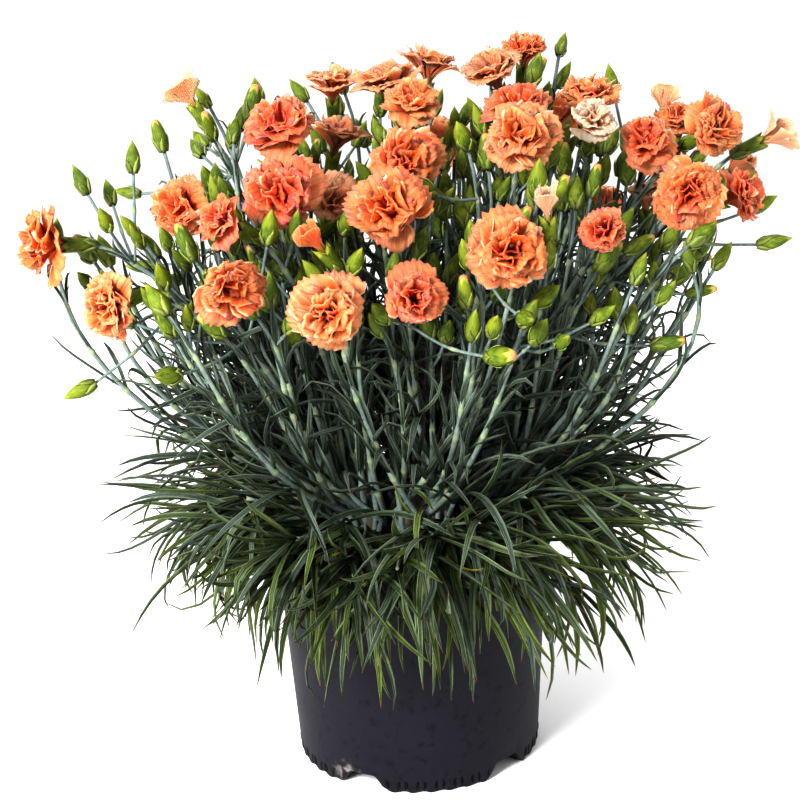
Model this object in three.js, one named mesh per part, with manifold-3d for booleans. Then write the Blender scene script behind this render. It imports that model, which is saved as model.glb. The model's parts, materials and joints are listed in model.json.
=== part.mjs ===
// A double-flowered dianthus in its blow-moulded nursery pot, in millimetres, +Z up.
// The origin is the middle of the pot's flat underside. The clump is eight rooted shoots, each one
// green body with its stems, leaves, buds and flower tubes, and every bloom's petals are a body of
// their own that sits in the mouth of its tube.

import * as THREE from "three";
import { mergeVertices } from "three/addons/utils/BufferGeometryUtils.js";
import Module from "manifold-3d";

// Pot
const RIM_RADIUS = 97;
const LIP_RADIUS = 100;
const LIP_HEIGHT = 10;
const BASE_RADIUS = 87;
const POT_HEIGHT = 165;
const WALL = 1.8;
const LIP_TAPER = 0.6;
const FLOOR = 3;
const POT_FACETS = 34;
const DRAIN_NOTCHES = 5;
const NOTCH_ANGLE = 0.45;
const NOTCH_WIDTH = 38;
const NOTCH_HEIGHT = 11;
const NOTCH_DEPTH = 20;
const EDGE_ROUND = 1.5;

// Soil
const SOIL_TOP = 150;
const SOIL_SHOULDER = 3;
const GAP = 0.3;
const HOLE_DEPTH = 24;

// Shoots
const RING_SHOOTS = 7;
const RING_RADIUS = 50;
const RING_ANGLE = -1.35;
const CROWN_HEIGHTS = [SOIL_TOP - HOLE_DEPTH + GAP, SOIL_TOP + 1, 164, 186, 203];
const CROWN_RADII = [7, 7.5, 17, 18.5, 10];
const CROWN_TOP = 212;
const STEMS_EACH = 7;
const STEM_RADIUS = 1.6;
const JOINT_LENGTH = 4;
const STEM_STATIONS = [0, 0.35, 0.6, 0.84, 1];
const TUBE_LENGTH = 19;
const TUBE_RADIUS = 4.4;
const BLOOM_SPOKES = 9;
const SPOKE_RADIUS = 6;
const BUD_LENGTH = 21;
const BUD_RADIUS = 5.4;
const STALK_RADIUS = 1.1;
const LEAF_WIDTH = 4.4;
const LEAF_KEEL = 1.4;
const INSET_SIZE = 3;
const INSET_LIFT = 0.8;
const SIDE_LEAVES = [2, 3];
const HEART_LEAN = 0.8;
const HIGH_LEAVES = 3;
const CLEARANCE = 0.4;
const LEAST_SPREAD = 0.5;
const LEAST_FACING = 0.15;
const SAME_LOOK = 1e-6;

const GREEN = { name: "glaucous foliage", color: 0x5c7468, roughness: 0.6, metalness: 0 };
const PLASTIC = { name: "black nursery plastic", color: 0x2a2a30, roughness: 0.45, metalness: 0 };
const PEAT = { name: "potting mix", color: 0x2e2118, roughness: 1, metalness: 0 };
const PETAL_COLOURS = {
  orange: 0xf0804a,
  peach: 0xf2a878,
  coral: 0xe8694a,
  faded: 0xdcae8c,
  pale: 0xf0d8b4,
};

// Every flower head: the middle of the flower, the way it faces, its width, how far it has opened
// (1 is flat out, under 0.5 is a bud that has just split) and its shade.
const HEADS = [
  [-229, -60, 384, -1, -0.4, 0.1, 50, 1, "orange"],
  [-179, -110, 351, -0.6, -0.8, -0.1, 42, 0.95, "peach"],
  [-136, -70, 405, -0.5, -0.8, 0.3, 44, 0.9, "orange"],
  [-146, 60, 471, -0.5, 0, 0.85, 28, 0.5, "pale"],
  [-98, -152, 368, 0.45, -0.85, -0.1, 44, 1, "orange"],
  [-72, -20, 452, -0.1, -0.6, 0.8, 52, 1, "coral"],
  [-71, -90, 413, 0, -0.95, 0.3, 50, 1, "coral"],
  [-106, -122, 404, -0.7, -0.5, 0.5, 34, 0.9, "coral"],
  [-42, -40, 400, 0.2, -0.7, 0.7, 32, 0.7, "faded"],
  [-44, 110, 469, 0, -0.2, 1, 38, 0.8, "faded"],
  [-1, 60, 471, -0.2, -0.2, 1, 50, 1, "faded"],
  [30, 120, 478, 0.3, 0, 1, 42, 0.9, "faded"],
  [13, 0, 460, 0.1, -0.5, 0.85, 42, 1, "peach"],
  [-40, 40, 437, 0.2, -0.2, 0.95, 36, 0.8, "faded"],
  [5, -60, 428, 0.1, -0.85, 0.5, 48, 1, "orange"],
  [-5, -112, 404, -0.1, -0.9, 0.4, 52, 1, "orange"],
  [-41, -170, 353, -0.1, -1, 0.1, 48, 1, "peach"],
  [8, -160, 358, 0.1, -0.9, 0.3, 40, 0.75, "coral"],
  [65, -160, 383, 0.2, -0.95, 0.2, 52, 1, "orange"],
  [94, 60, 489, 0.1, -0.3, 0.95, 36, 0.85, "orange"],
  [68, 22, 477, -0.3, -0.3, 0.9, 42, 0.95, "faded"],
  [83, -22, 457, 0, -0.4, 0.9, 48, 1, "coral"],
  [77, -84, 443, 0, -0.8, 0.55, 48, 1, "peach"],
  [133, 22, 460, 0.1, -0.3, 0.95, 42, 1, "peach"],
  [128, -32, 446, 0, -0.7, 0.7, 36, 0.9, "pale"],
  [193, 66, 452, 0.2, 0, 1, 22, 0.45, "pale"],
  [163, -24, 431, -0.2, -0.8, 0.5, 38, 0.95, "coral"],
  [198, 40, 437, 0.2, -0.5, 0.8, 38, 0.9, "orange"],
  [207, -34, 437, 0.5, -0.8, 0.4, 44, 1, "peach"],
  [255, -10, 430, 0.9, -0.1, 0.4, 26, 0.5, "pale"],
  [245, 62, 403, 0.8, 0.2, 0.6, 30, 0.85, "faded"],
  [180, -92, 404, -0.1, -0.95, 0.2, 46, 1, "orange"],
  [222, -56, 395, 0.85, -0.4, 0.2, 40, 0.95, "coral"],
  [123, -120, 387, 0, -0.9, 0.4, 30, 0.8, "coral"],
  [172, 24, 388, 0, -0.3, 0.9, 24, 0.7, "faded"],
  [88, -126, 408, -0.1, -0.2, 1, 18, 0.35, "coral"],
  [-52, -124, 392, -0.5, -0.4, 0.75, 18, 0.35, "orange"],
  [-172, 165, 375, -0.6, 0.8, 0.25, 46, 1, "orange"],
  [-120, 185, 330, -0.3, 0.95, 0, 42, 1, "peach"],
  [-90, 168, 395, -0.2, 0.9, 0.5, 48, 1, "coral"],
  [-8, 185, 372, 0, 0.95, 0.3, 50, 1, "orange"],
  [40, 175, 420, 0.1, 0.8, 0.7, 44, 0.95, "peach"],
  [92, 188, 345, 0.2, 1, 0, 46, 1, "coral"],
  [160, 160, 362, 0.6, 0.8, 0.2, 44, 1, "orange"],
  [214, 122, 385, 0.8, 0.6, 0.4, 40, 0.9, "peach"],
  [125, 130, 440, 0.3, 0.6, 0.8, 42, 1, "orange"],
];

// Long side branches that end in a bud instead of a flower: where the bud's tip lies.
const BUD_TIPS = [
  [-211, -20, 430], [-196, 8, 418], [-175, -10, 436], [-127, 20, 456], [-94, 40, 470], [-185, -80, 410],
  [-214, -96, 292], [-146, -156, 318], [250, -62, 368], [262, 22, 384], [176, -96, 312], [33, 62, 466],
  [60, -10, 460], [155, 84, 474], [118, 78, 474], [32, -62, 416], [74, -184, 348], [96, -172, 336],
  [60, -192, 330], [198, -84, 342], [-204, 70, 402], [-206, 112, 340], [-150, 110, 432], [-60, 190, 318],
  [30, 205, 330], [130, 196, 310], [205, 160, 330], [232, 96, 330], [-20, 120, 440], [-110, 110, 455],
  [170, 110, 425], [-150, 60, 400],
];

// Seeded draws, started again for every piece, so that one piece's luck never moves another.
let drawState = 0;
let pieceNumber = 0;
function nextPiece() {
  pieceNumber += 1;
  drawState = pieceNumber * 7919;
}

function draw(low, high) {
  drawState = (drawState + 0x6d2b79f5) >>> 0;
  let mixed = Math.imul(drawState ^ (drawState >>> 15), drawState | 1);
  mixed ^= mixed + Math.imul(mixed ^ (mixed >>> 7), mixed | 61);
  return low + (high - low) * (((mixed ^ (mixed >>> 14)) >>> 0) / 4294967296);
}

const point = (x, y, z) => new THREE.Vector3(x, y, z);
const UP = point(0, 0, 1);
const CROWN_SIDE = point(1, 0.2, 0);

// Grown bodies

// The direction of a path at each of its points, and a side direction carried along without twist.
function framesAlong(path, side) {
  let carried = side;
  return path.map((_, i) => {
    const before = path[Math.max(i - 1, 0)];
    const after = path[Math.min(i + 1, path.length - 1)];
    const along = after.clone().sub(before).normalize();
    carried = carried.clone().addScaledVector(along, -carried.dot(along)).normalize();
    return { along, side: carried, across: along.clone().cross(carried) };
  });
}

// A regular ring of points across a frame, anticlockwise about the way the path goes.
function roundRing(centre, frame, radius, count) {
  return Array.from({ length: count }, (_, n) => {
    const angle = (2 * Math.PI * n) / count;
    return centre.clone()
      .addScaledVector(frame.side, radius * Math.cos(angle))
      .addScaledVector(frame.across, radius * Math.sin(angle));
  });
}

// The order in which two rings are joined up: each step moves on by one point of one of them.
function joiningSteps(lowerCount, upperCount) {
  const steps = [[0, 0]];
  let [i, j] = [0, 0];
  while (i < lowerCount || j < upperCount) {
    const onLower = i < lowerCount && (i + 0.5) / lowerCount <= (j + 0.5) / upperCount;
    if (j >= upperCount || onLower) i += 1;
    else j += 1;
    steps.push([i, j]);
  }
  return steps;
}

const probe = new THREE.Ray();
const meeting = point(0, 0, 0);

function edgeMeetsFace(from, to, [a, b, c]) {
  probe.origin.copy(from);
  probe.direction.copy(to).sub(from).normalize();
  if (probe.intersectTriangle(a, b, c, false, meeting) === null) return false;
  return meeting.distanceTo(from) < to.distanceTo(from);
}

function facesCross(one, other) {
  return [0, 1, 2].some((k) => {
    const next = (k + 1) % 3;
    return edgeMeetsFace(one[k], one[next], other) || edgeMeetsFace(other[k], other[next], one);
  });
}

// A closed skin that grows: each new piece is a stack of rings that starts from one of its faces,
// so pieces never have to be cut into each other.
class GrownBody {
  constructor(rings) {
    this.points = [];
    this.faces = [];
    const [first, ...rest] = rings;
    const base = this.addRing(first);
    for (let i = 1; i + 1 < base.length; i += 1) this.faces.push([base[0], base[i + 1], base[i]]);
    this.bands = this.stack(base, rest);
  }

  addRing(ring) {
    const start = this.points.length;
    this.points.push(...ring);
    return ring.map((_, i) => start + i);
  }

  // Turns the order of a ring until the edges that will join it to the ring below are shortest.
  matched(lower, upper) {
    const turned = (turn) => upper.map((_, i) => upper[(i + turn) % upper.length]);
    const edgeLength = (ring) => joiningSteps(lower.length, ring.length).reduce((sum, [i, j]) => {
      return sum + this.points[lower[i % lower.length]].distanceTo(this.points[ring[j % ring.length]]);
    }, 0);
    const lengths = upper.map((_, turn) => edgeLength(turned(turn)));
    return turned(lengths.indexOf(Math.min(...lengths)));
  }

  // Closes the gap between two rings, which may have different numbers of points.
  band(lower, upper) {
    const start = this.faces.length;
    const steps = joiningSteps(lower.length, upper.length);
    for (let n = 1; n < steps.length; n += 1) {
      const [i, j] = steps[n - 1];
      const low = lower[i % lower.length];
      const high = upper[j % upper.length];
      const nextLow = lower[steps[n][0] % lower.length];
      const nextHigh = upper[steps[n][1] % upper.length];
      if (nextLow !== low) this.faces.push([low, nextLow, high]);
      if (nextHigh !== high) this.faces.push([low, nextHigh, high]);
    }
    return this.faces.slice(start).map((_, n) => start + n);
  }

  // Adds rings one after another and closes the last. Returns the faces of each band, and the lid.
  stack(base, rings) {
    let lower = base;
    const bands = rings.map((ring) => {
      const upper = this.matched(lower, this.addRing(ring));
      const band = this.band(lower, upper);
      lower = upper;
      return band;
    });
    const start = this.faces.length;
    for (let i = 1; i + 1 < lower.length; i += 1) this.faces.push([lower[0], lower[i], lower[i + 1]]);
    bands.push(this.faces.slice(start).map((_, n) => start + n));
    return bands;
  }

  centre(face) {
    const [a, b, c] = this.faces[face].map((corner) => this.points[corner]);
    return a.clone().add(b).add(c).divideScalar(3);
  }

  normal(face) {
    const [a, b, c] = this.faces[face].map((corner) => this.points[corner]);
    return b.clone().sub(a).cross(c.clone().sub(a)).normalize();
  }

  // A small copy of a face, just above its middle, for a slim piece to start from.
  inset(face, size) {
    const middle = this.centre(face);
    const corners = this.faces[face].map((corner) => this.points[corner].clone().sub(middle));
    const scale = size / Math.max(...corners.map((corner) => corner.length()));
    const lift = this.normal(face).multiplyScalar(INSET_LIFT);
    return corners.map((corner) => corner.multiplyScalar(scale).add(middle).add(lift));
  }

  // Whether any face from the given one on crosses another face of the skin.
  crossesItself(start) {
    const corners = this.faces.map((face) => face && face.map((corner) => this.points[corner]));
    const boxes = corners.map((face) => face && new THREE.Box3().setFromPoints(face));
    return this.faces.some((face, n) => {
      if (n < start || face === null) return false;
      return this.faces.some((other, m) => {
        if (other === null || !boxes[n].intersectsBox(boxes[m])) return false;
        return !face.some((corner) => other.includes(corner)) && facesCross(corners[n], corners[m]);
      });
    });
  }

  // Grows a stack of rings out of one face, which it uses up, unless the new skin would cross the old.
  grow(face, rings) {
    const root = this.faces[face];
    const [oldPoints, oldFaces] = [this.points.length, this.faces.length];
    this.faces[face] = null;
    const bands = this.stack(root, rings);
    if (!this.crossesItself(oldFaces)) return bands;
    this.points.length = oldPoints;
    this.faces.length = oldFaces;
    this.faces[face] = root;
    return null;
  }

  // Of the faces that are still free, the first that looks most nearly the given way.
  faceTowards(faces, heading) {
    const free = faces.filter((face) => this.faces[face] !== null);
    const looks = free.map((face) => this.normal(face).dot(heading));
    const best = Math.max(...looks) - SAME_LOOK;
    return free[looks.findIndex((look) => look >= best)];
  }

  toGeometry() {
    const geometry = new THREE.BufferGeometry();
    const numbers = this.points.flatMap((corner) => corner.toArray());
    geometry.setAttribute("position", new THREE.Float32BufferAttribute(numbers, 3));
    geometry.setIndex(this.faces.filter((face) => face !== null).flat());
    return geometry;
  }
}

// The rings of a channelled leaf past its root: two edges and a keel under them, and then a point.
function leafRings(path, upper, width) {
  const frames = framesAlong(path, upper);
  const last = path.length - 1;
  return path.slice(1).map((centre, n) => {
    if (n + 1 === last) return [centre];
    const half = 0.5 * width * (1 - 0.25 * (n / last));
    const { across, side } = frames[n + 1];
    return [
      centre.clone().addScaledVector(across, -half),
      centre.clone().addScaledVector(across, half),
      centre.clone().addScaledVector(side, -LEAF_KEEL),
    ];
  });
}

// Joins and cuts

const wasm = await Module();
wasm.setup();

function toSolid(geometry) {
  const bare = geometry.clone();
  bare.deleteAttribute("normal");
  bare.deleteAttribute("uv");
  const merged = mergeVertices(bare, 1e-4);
  return new wasm.Manifold(new wasm.Mesh({
    numProp: 3,
    vertProperties: new Float32Array(merged.attributes.position.array),
    triVerts: new Uint32Array(merged.index.array),
  }));
}

function toGeometry(solid) {
  const mesh = solid.getMesh();
  const geometry = new THREE.BufferGeometry();
  geometry.setAttribute("position", new THREE.BufferAttribute(new Float32Array(mesh.vertProperties), 3));
  geometry.setIndex(new THREE.BufferAttribute(new Uint32Array(mesh.triVerts), 1));
  return geometry;
}

// Room between pieces

// Everything that has been placed, as round-ended rods, so that later pieces grow clear of it.
const placed = [];

function segmentDistance(p, q, a, b) {
  const u = q.clone().sub(p);
  const v = b.clone().sub(a);
  const w = p.clone().sub(a);
  const [uu, vv, uv, uw, vw] = [u.dot(u), v.dot(v), u.dot(v), u.dot(w), v.dot(w)];
  const spread = uu * vv - uv * uv;
  let s = spread > 1e-9 ? THREE.MathUtils.clamp((uv * vw - vv * uw) / spread, 0, 1) : 0;
  const t = THREE.MathUtils.clamp((uv * s + vw) / Math.max(vv, 1e-9), 0, 1);
  s = THREE.MathUtils.clamp((uv * t - uw) / Math.max(uu, 1e-9), 0, 1);
  return p.clone().addScaledVector(u, s).distanceTo(a.clone().addScaledVector(v, t));
}

function rodsAlong(path, radius, owner) {
  return path.slice(1).map((end, i) => {
    const start = path[i];
    const middle = start.clone().add(end).multiplyScalar(0.5);
    const reach = start.distanceTo(end) / 2 + radius;
    return { start, end, middle, reach, radius, owner };
  });
}

function isClear(rods, ignoredOwners) {
  return rods.every((rod) => placed.every((other) => {
    if (ignoredOwners.includes(other.owner)) return true;
    const room = rod.radius + other.radius + CLEARANCE;
    if (rod.middle.distanceTo(other.middle) > rod.reach + other.reach + CLEARANCE) return true;
    return segmentDistance(rod.start, rod.end, other.start, other.end) > room;
  }));
}

// Clear of the pot's wall and lip, and of the soil.
function clearOfPot(path, radius) {
  return path.every((p, i) => {
    if (i === 0) return true;
    return [0.25, 0.5, 0.75, 1].every((t) => {
      const at = path[i - 1].clone().lerp(p, t);
      const out = Math.hypot(at.x, at.y);
      if (out > LIP_RADIUS + radius + 1) return at.z > 12;
      return at.z > (out > RIM_RADIUS - 8 - radius ? POT_HEIGHT : SOIL_TOP) + radius + 1;
    });
  });
}

// Pot: a tapered shell with a stepped lip and a flat floor. Arched notches open the foot for drainage.

function buildPot() {
  const lipFoot = POT_HEIGHT - LIP_HEIGHT;
  const wallTop = RIM_RADIUS - LIP_TAPER;
  const profile = [
    [0, 0], [BASE_RADIUS - EDGE_ROUND, 0], [BASE_RADIUS, EDGE_ROUND], [wallTop, lipFoot - EDGE_ROUND],
    [LIP_RADIUS - 0.4, lipFoot], [LIP_RADIUS, POT_HEIGHT - EDGE_ROUND], [LIP_RADIUS - 1, POT_HEIGHT],
    [RIM_RADIUS, POT_HEIGHT], [wallTop - WALL, lipFoot - EDGE_ROUND], [BASE_RADIUS - WALL, FLOOR], [0, FLOOR],
  ].map(([r, z]) => new THREE.Vector2(r, z));
  const lathe = new THREE.LatheGeometry(profile, POT_FACETS);
  lathe.rotateX(Math.PI / 2);
  let solid = toSolid(lathe);
  for (let n = 0; n < DRAIN_NOTCHES; n += 1) {
    const half = NOTCH_WIDTH / 2;
    const arch = new THREE.Shape();
    arch.moveTo(-half, -5);
    arch.lineTo(-half, 1);
    arch.quadraticCurveTo(-half + 3, NOTCH_HEIGHT, 0, NOTCH_HEIGHT);
    arch.quadraticCurveTo(half - 3, NOTCH_HEIGHT, half, 1);
    arch.lineTo(half, -5);
    const depth = NOTCH_DEPTH + 10;
    const cutter = new THREE.ExtrudeGeometry(arch, { depth, bevelEnabled: false, curveSegments: 2 });
    cutter.rotateX(Math.PI / 2);
    cutter.rotateZ(Math.PI / 2);
    cutter.translate(BASE_RADIUS - NOTCH_DEPTH, 0, 0);
    cutter.rotateZ(NOTCH_ANGLE + (2 * Math.PI * n) / DRAIN_NOTCHES);
    solid = solid.subtract(toSolid(cutter));
  }
  return toGeometry(solid);
}

// Soil: fills the pot to just under its lip, with a six-sided hole round each crown.

function prism(radius, bottom, top, x, y) {
  const [frame] = framesAlong([point(x, y, bottom), point(x, y, top)], CROWN_SIDE);
  const ends = [bottom, top].map((z) => roundRing(point(x, y, z), frame, radius, 6));
  return new GrownBody(ends).toGeometry();
}

const crownPlaces = [point(0, 0, 0)];
for (let n = 0; n < RING_SHOOTS; n += 1) {
  const angle = RING_ANGLE + (2 * Math.PI * n) / RING_SHOOTS;
  crownPlaces.push(point(RING_RADIUS * Math.cos(angle), RING_RADIUS * Math.sin(angle), 0));
}

function buildSoil() {
  const innerRadius = (z) => {
    const rise = (z - FLOOR) / (POT_HEIGHT - LIP_HEIGHT - EDGE_ROUND - FLOOR);
    return THREE.MathUtils.lerp(BASE_RADIUS, RIM_RADIUS - LIP_TAPER, rise) - WALL - 2 * GAP;
  };
  const bottom = FLOOR + GAP;
  const shoulder = SOIL_TOP - SOIL_SHOULDER;
  const profile = [
    [0, bottom], [innerRadius(bottom), bottom], [innerRadius(shoulder), shoulder],
    [innerRadius(SOIL_TOP) - SOIL_SHOULDER, SOIL_TOP], [0, SOIL_TOP],
  ].map(([r, z]) => new THREE.Vector2(r, z));
  const lathe = new THREE.LatheGeometry(profile, POT_FACETS);
  lathe.rotateX(Math.PI / 2);
  let solid = toSolid(lathe);
  for (const { x, y } of crownPlaces) {
    const hole = prism(CROWN_RADII[1] + 0.5, SOIL_TOP - HOLE_DEPTH, SOIL_TOP + 5, x, y);
    solid = solid.subtract(toSolid(hole));
  }
  return toGeometry(solid);
}

// Blooms: petals in three frilled layers round one axis, each layer smaller, higher and more upright.

// One frilled edge: five petals of three points each, with a cleft between petals.
function frill(radius, height, wave, turn, petals) {
  const corners = [0.78, 1, 0.97];
  return Array.from({ length: petals * 3 }, (_, n) => {
    const angle = turn + (2 * Math.PI * (n + draw(-0.15, 0.15))) / (petals * 3);
    const reach = radius * corners[n % 3] * draw(0.93, 1.04);
    const lift = height + (n % 3 === 1 ? wave : -wave) * draw(0.4, 1);
    return point(reach * Math.cos(angle), reach * Math.sin(angle), lift);
  });
}

// From the mouth of the green tube to the top of the petals.
function bloomHeight(width, openness) {
  return 11 + 0.31 * width + 8 * (1 - openness);
}

function neck(radius, height, turn) {
  return Array.from({ length: 5 }, (_, n) => {
    const angle = turn + (2 * Math.PI * n) / 5;
    return point(radius * Math.cos(angle), radius * Math.sin(angle), height);
  });
}

function buildBloom(width, openness) {
  const radius = width / 2;
  const shut = 1 - openness;
  const height = bloomHeight(width, openness);
  const turn = draw(0, 1);
  const mouth = neck(0.62 * TUBE_RADIUS, 0, turn);
  if (openness < 0.6) {
    const throat = neck(0.85 * radius, 0.6 * height, turn);
    const tips = frill(radius * 0.62, height, 0.05 * radius, turn, 3);
    return new GrownBody([mouth, throat, tips, [point(0, 0, 0.8 * height)]]);
  }
  return new GrownBody([
    mouth,
    frill(radius, 0.42 * height + 0.4 * height * shut, 0.11 * radius, turn, 5),
    neck(0.4 * radius, 0.56 * height, turn),
    frill(radius * 0.76, 0.74 * height, 0.08 * radius, turn + 0.5, 5),
    neck(0.2 * radius, 0.78 * height, turn + 0.3),
    frill(radius * 0.42, height, 0.05 * radius, turn + 0.2, 3),
    [point(0, 0, 0.86 * height)],
  ]);
}

// A bloom whose frills happen to cross is drawn again.
function clearBloom(width, openness) {
  let bloom = buildBloom(width, openness);
  while (bloom.crossesItself(0)) bloom = buildBloom(width, openness);
  return bloom.toGeometry();
}

// Growing the clump

const heads = HEADS.map(([x, y, z, fx, fy, fz, width, openness, shade], n) => {
  const facing = point(fx, fy, fz).normalize();
  const height = bloomHeight(width, openness);
  const mouth = point(x, y, z).addScaledVector(facing, -0.6 * height);
  const root = mouth.clone().addScaledVector(facing, -TUBE_LENGTH);
  return { n, facing, width, openness, shade, height, mouth, root };
});

for (const { n, facing, width, height, mouth } of heads) {
  const side = Math.abs(facing.z) < 0.9 ? UP : point(1, 0, 0);
  const [frame] = framesAlong([mouth, mouth.clone().add(facing)], side);
  const hub = mouth.clone().addScaledVector(facing, 0.55 * height);
  placed.push(...rodsAlong([mouth.clone().addScaledVector(facing, 5), hub], 0.3 * width, `bloom${n}`));
  for (let k = 0; k < BLOOM_SPOKES; k += 1) {
    const angle = (2 * Math.PI * k) / BLOOM_SPOKES;
    const reach = 0.5 * width - 4;
    const edge = hub.clone()
      .addScaledVector(frame.side, reach * Math.cos(angle))
      .addScaledVector(frame.across, reach * Math.sin(angle));
    placed.push(...rodsAlong([hub, edge], SPOKE_RADIUS, `bloom${n}`));
  }
}

// Each crown is a stout six-sided heart of crowded shoot bases, and everything else grows from it.
const shoots = crownPlaces.map((crown, n) => {
  const axis = [...CROWN_HEIGHTS, CROWN_TOP].map((z) => point(crown.x, crown.y, z));
  const frames = framesAlong(axis, CROWN_SIDE);
  const rings = CROWN_RADII.map((radius, i) => roundRing(axis[i], frames[i], radius, 6));
  rings.push([axis[rings.length]]);
  placed.push(...rodsAlong([axis[2], axis[4]], CROWN_RADII[2], `heart${n}`));
  return { n, crown, owner: `shoot${n}`, heart: `heart${n}`, body: new GrownBody(rings), stems: [] };
});

// A place belongs to the nearest crown that still has room for a stem.
function crownFor(at) {
  const onSoil = point(at.x, at.y, 0).multiplyScalar(0.4);
  const open = shoots.filter((shoot) => shoot.stems.length < STEMS_EACH);
  const distances = open.map((shoot) => shoot.crown.distanceTo(onSoil));
  return open[distances.indexOf(Math.min(...distances))];
}

// The rings of a stem: a pair close together at each joint, where leaves and stalks can start.
function stemRings(path, radius, jointCount) {
  const frames = framesAlong(path, CROWN_SIDE);
  return path.slice(1).flatMap((centre, n) => {
    const frame = frames[n + 1];
    const half = n < jointCount ? [-JOINT_LENGTH / 2, JOINT_LENGTH / 2] : [0];
    return half.map((step) => roundRing(centre.clone().addScaledVector(frame.along, step), frame, radius, 3));
  });
}

// Flowering stems rise steeply, lean out to their flower and turn into its green tube.
for (const head of heads) {
  const shoot = crownFor(head.mouth);
  const { facing, mouth, root } = head;
  const outward = root.clone().sub(shoot.crown).setZ(170).normalize();
  const heart = shoot.body;
  const face = heart.faceTowards([...heart.bands[3], ...heart.bands[4]], outward);
  const start = heart.centre(face).addScaledVector(heart.normal(face), INSET_LIFT);
  const toHead = root.clone().sub(start).normalize();
  const span = start.distanceTo(root);
  nextPiece();
  for (let attempt = 0; attempt < 200; attempt += 1) {
    const sway = point(draw(-1, 1), draw(-1, 1), draw(-0.5, 0.5)).multiplyScalar(Math.min(attempt * 0.7, 60));
    const rising = toHead.clone().multiplyScalar(0.3).addScaledVector(UP, 0.1);
    const startPull = start.clone().addScaledVector(rising, span).add(sway);
    const turning = facing.clone().multiplyScalar(0.16).addScaledVector(toHead, 0.12);
    const endPull = root.clone().addScaledVector(turning, -span).add(sway);
    const curve = new THREE.CubicBezierCurve3(start, startPull, endPull, root);
    const path = STEM_STATIONS.map((t) => curve.getPoint(t));
    const rods = rodsAlong(path, STEM_RADIUS + 0.2, shoot.owner);
    const tubeRods = rodsAlong([root, mouth], TUBE_RADIUS, shoot.owner);
    const free = isClear(rods.slice(0, 1), [shoot.heart]) && isClear(rods.slice(1), []);
    if (!free || !isClear(tubeRods, [`bloom${head.n}`])) continue;
    const frames = framesAlong([...path, mouth], CROWN_SIDE);
    const rings = [
      heart.inset(face, INSET_SIZE),
      ...stemRings(path, STEM_RADIUS, path.length - 2),
      roundRing(root.clone().addScaledVector(facing, 3.5), frames[5], TUBE_RADIUS * 0.8, 5),
      roundRing(mouth, frames[5], TUBE_RADIUS, 5),
    ];
    const bands = heart.grow(face, rings);
    if (bands === null) continue;
    placed.push(...rods, ...tubeRods);
    const joints = path.slice(1, -1).map((at, n) => {
      const { along } = frames[n + 1];
      return { at, along, faces: bands[2 + 2 * n], headings: [] };
    });
    shoot.stems.push({ joints });
    break;
  }
}

// Draws a piece again until it grows clear of everything, then adds it to its shoot at one of a
// site's faces. At a joint its first stretch passes close to its stem, and it leaves at a wide angle
// to what grows there already. On a heart only the heart itself may be near its root.
function growClear(shoot, site, tries, drawPiece) {
  nextPiece();
  if (site.faces.every((face) => shoot.body.faces[face] === null)) return null;
  for (let attempt = 0; attempt < tries; attempt += 1) {
    const { path, rods, rings } = drawPiece(attempt);
    const heading = path[1].clone().sub(path[0]).normalize();
    const face = shoot.body.faceTowards(site.faces, heading);
    if (shoot.body.normal(face).dot(heading) < LEAST_FACING) continue;
    const [first, ...rest] = rods;
    const beyondRoot = { ...first, start: first.start.clone().lerp(first.end, site.onHeart ? 0 : 0.3) };
    if (site.headings.some((other) => other.angleTo(heading) < LEAST_SPREAD)) continue;
    if (!clearOfPot(path, 2)) continue;
    if (!isClear([first], [shoot.owner, shoot.heart])) continue;
    if (!isClear([beyondRoot], site.onHeart ? [shoot.heart] : []) || !isClear(rest, [])) continue;
    const root = site.onHeart ? [shoot.body.inset(face, INSET_SIZE)] : [];
    const bands = shoot.body.grow(face, [...root, ...rings]);
    if (bands === null) continue;
    placed.push(...rods);
    site.headings.push(heading);
    return { path, bands };
  }
  return null;
}

const heartSite = (face) => ({ faces: [face], headings: [], onHeart: true });

// A bud on its stalk, from a joint of a stem to the bud's tip.
function budPiece(shoot, joint, tip) {
  const toTip = tip.clone().sub(joint);
  const along = toTip.clone().normalize().addScaledVector(UP, 0.25).normalize();
  const foot = tip.clone().addScaledVector(along, -BUD_LENGTH);
  const sag = joint.clone().lerp(foot, 0.5).addScaledVector(UP, -0.04 * toTip.length());
  const stalk = toTip.length() > 50 ? [joint, sag, foot] : [joint, foot];
  const path = [...stalk, tip];
  const frames = framesAlong(path, CROWN_SIDE);
  const budFrame = frames[frames.length - 1];
  const rings = [
    ...stalk.slice(1).map((at, n) => roundRing(at, frames[n + 1], STALK_RADIUS, 3)),
    roundRing(tip.clone().addScaledVector(along, -0.8 * BUD_LENGTH), budFrame, 0.8 * BUD_RADIUS, 4),
    roundRing(tip.clone().addScaledVector(along, -0.4 * BUD_LENGTH), budFrame, BUD_RADIUS, 4),
    [tip],
  ];
  const stalkRods = rodsAlong(stalk, STALK_RADIUS + 0.2, shoot.owner);
  return { path, rods: [...stalkRods, ...rodsAlong([foot, tip], BUD_RADIUS, shoot.owner)], rings };
}

for (const [x, y, z] of BUD_TIPS) {
  const tip = point(x, y, z);
  let best = null;
  for (const shoot of shoots) {
    for (const { joints } of shoot.stems) {
      for (const joint of joints.slice(1)) {
        const toTip = tip.clone().sub(joint.at);
        const cost = toTip.length() * (2 - joint.along.dot(toTip.clone().normalize()));
        if (toTip.length() > 36 && (best === null || cost < best.cost)) best = { shoot, joint, cost };
      }
    }
  }
  growClear(best.shoot, best.joint, 25, (attempt) => {
    const moved = tip.clone().add(point(draw(-1, 1), draw(-1, 1), draw(-1, 1)).multiplyScalar(attempt));
    return budPiece(best.shoot, best.joint.at, moved);
  });
}

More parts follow.
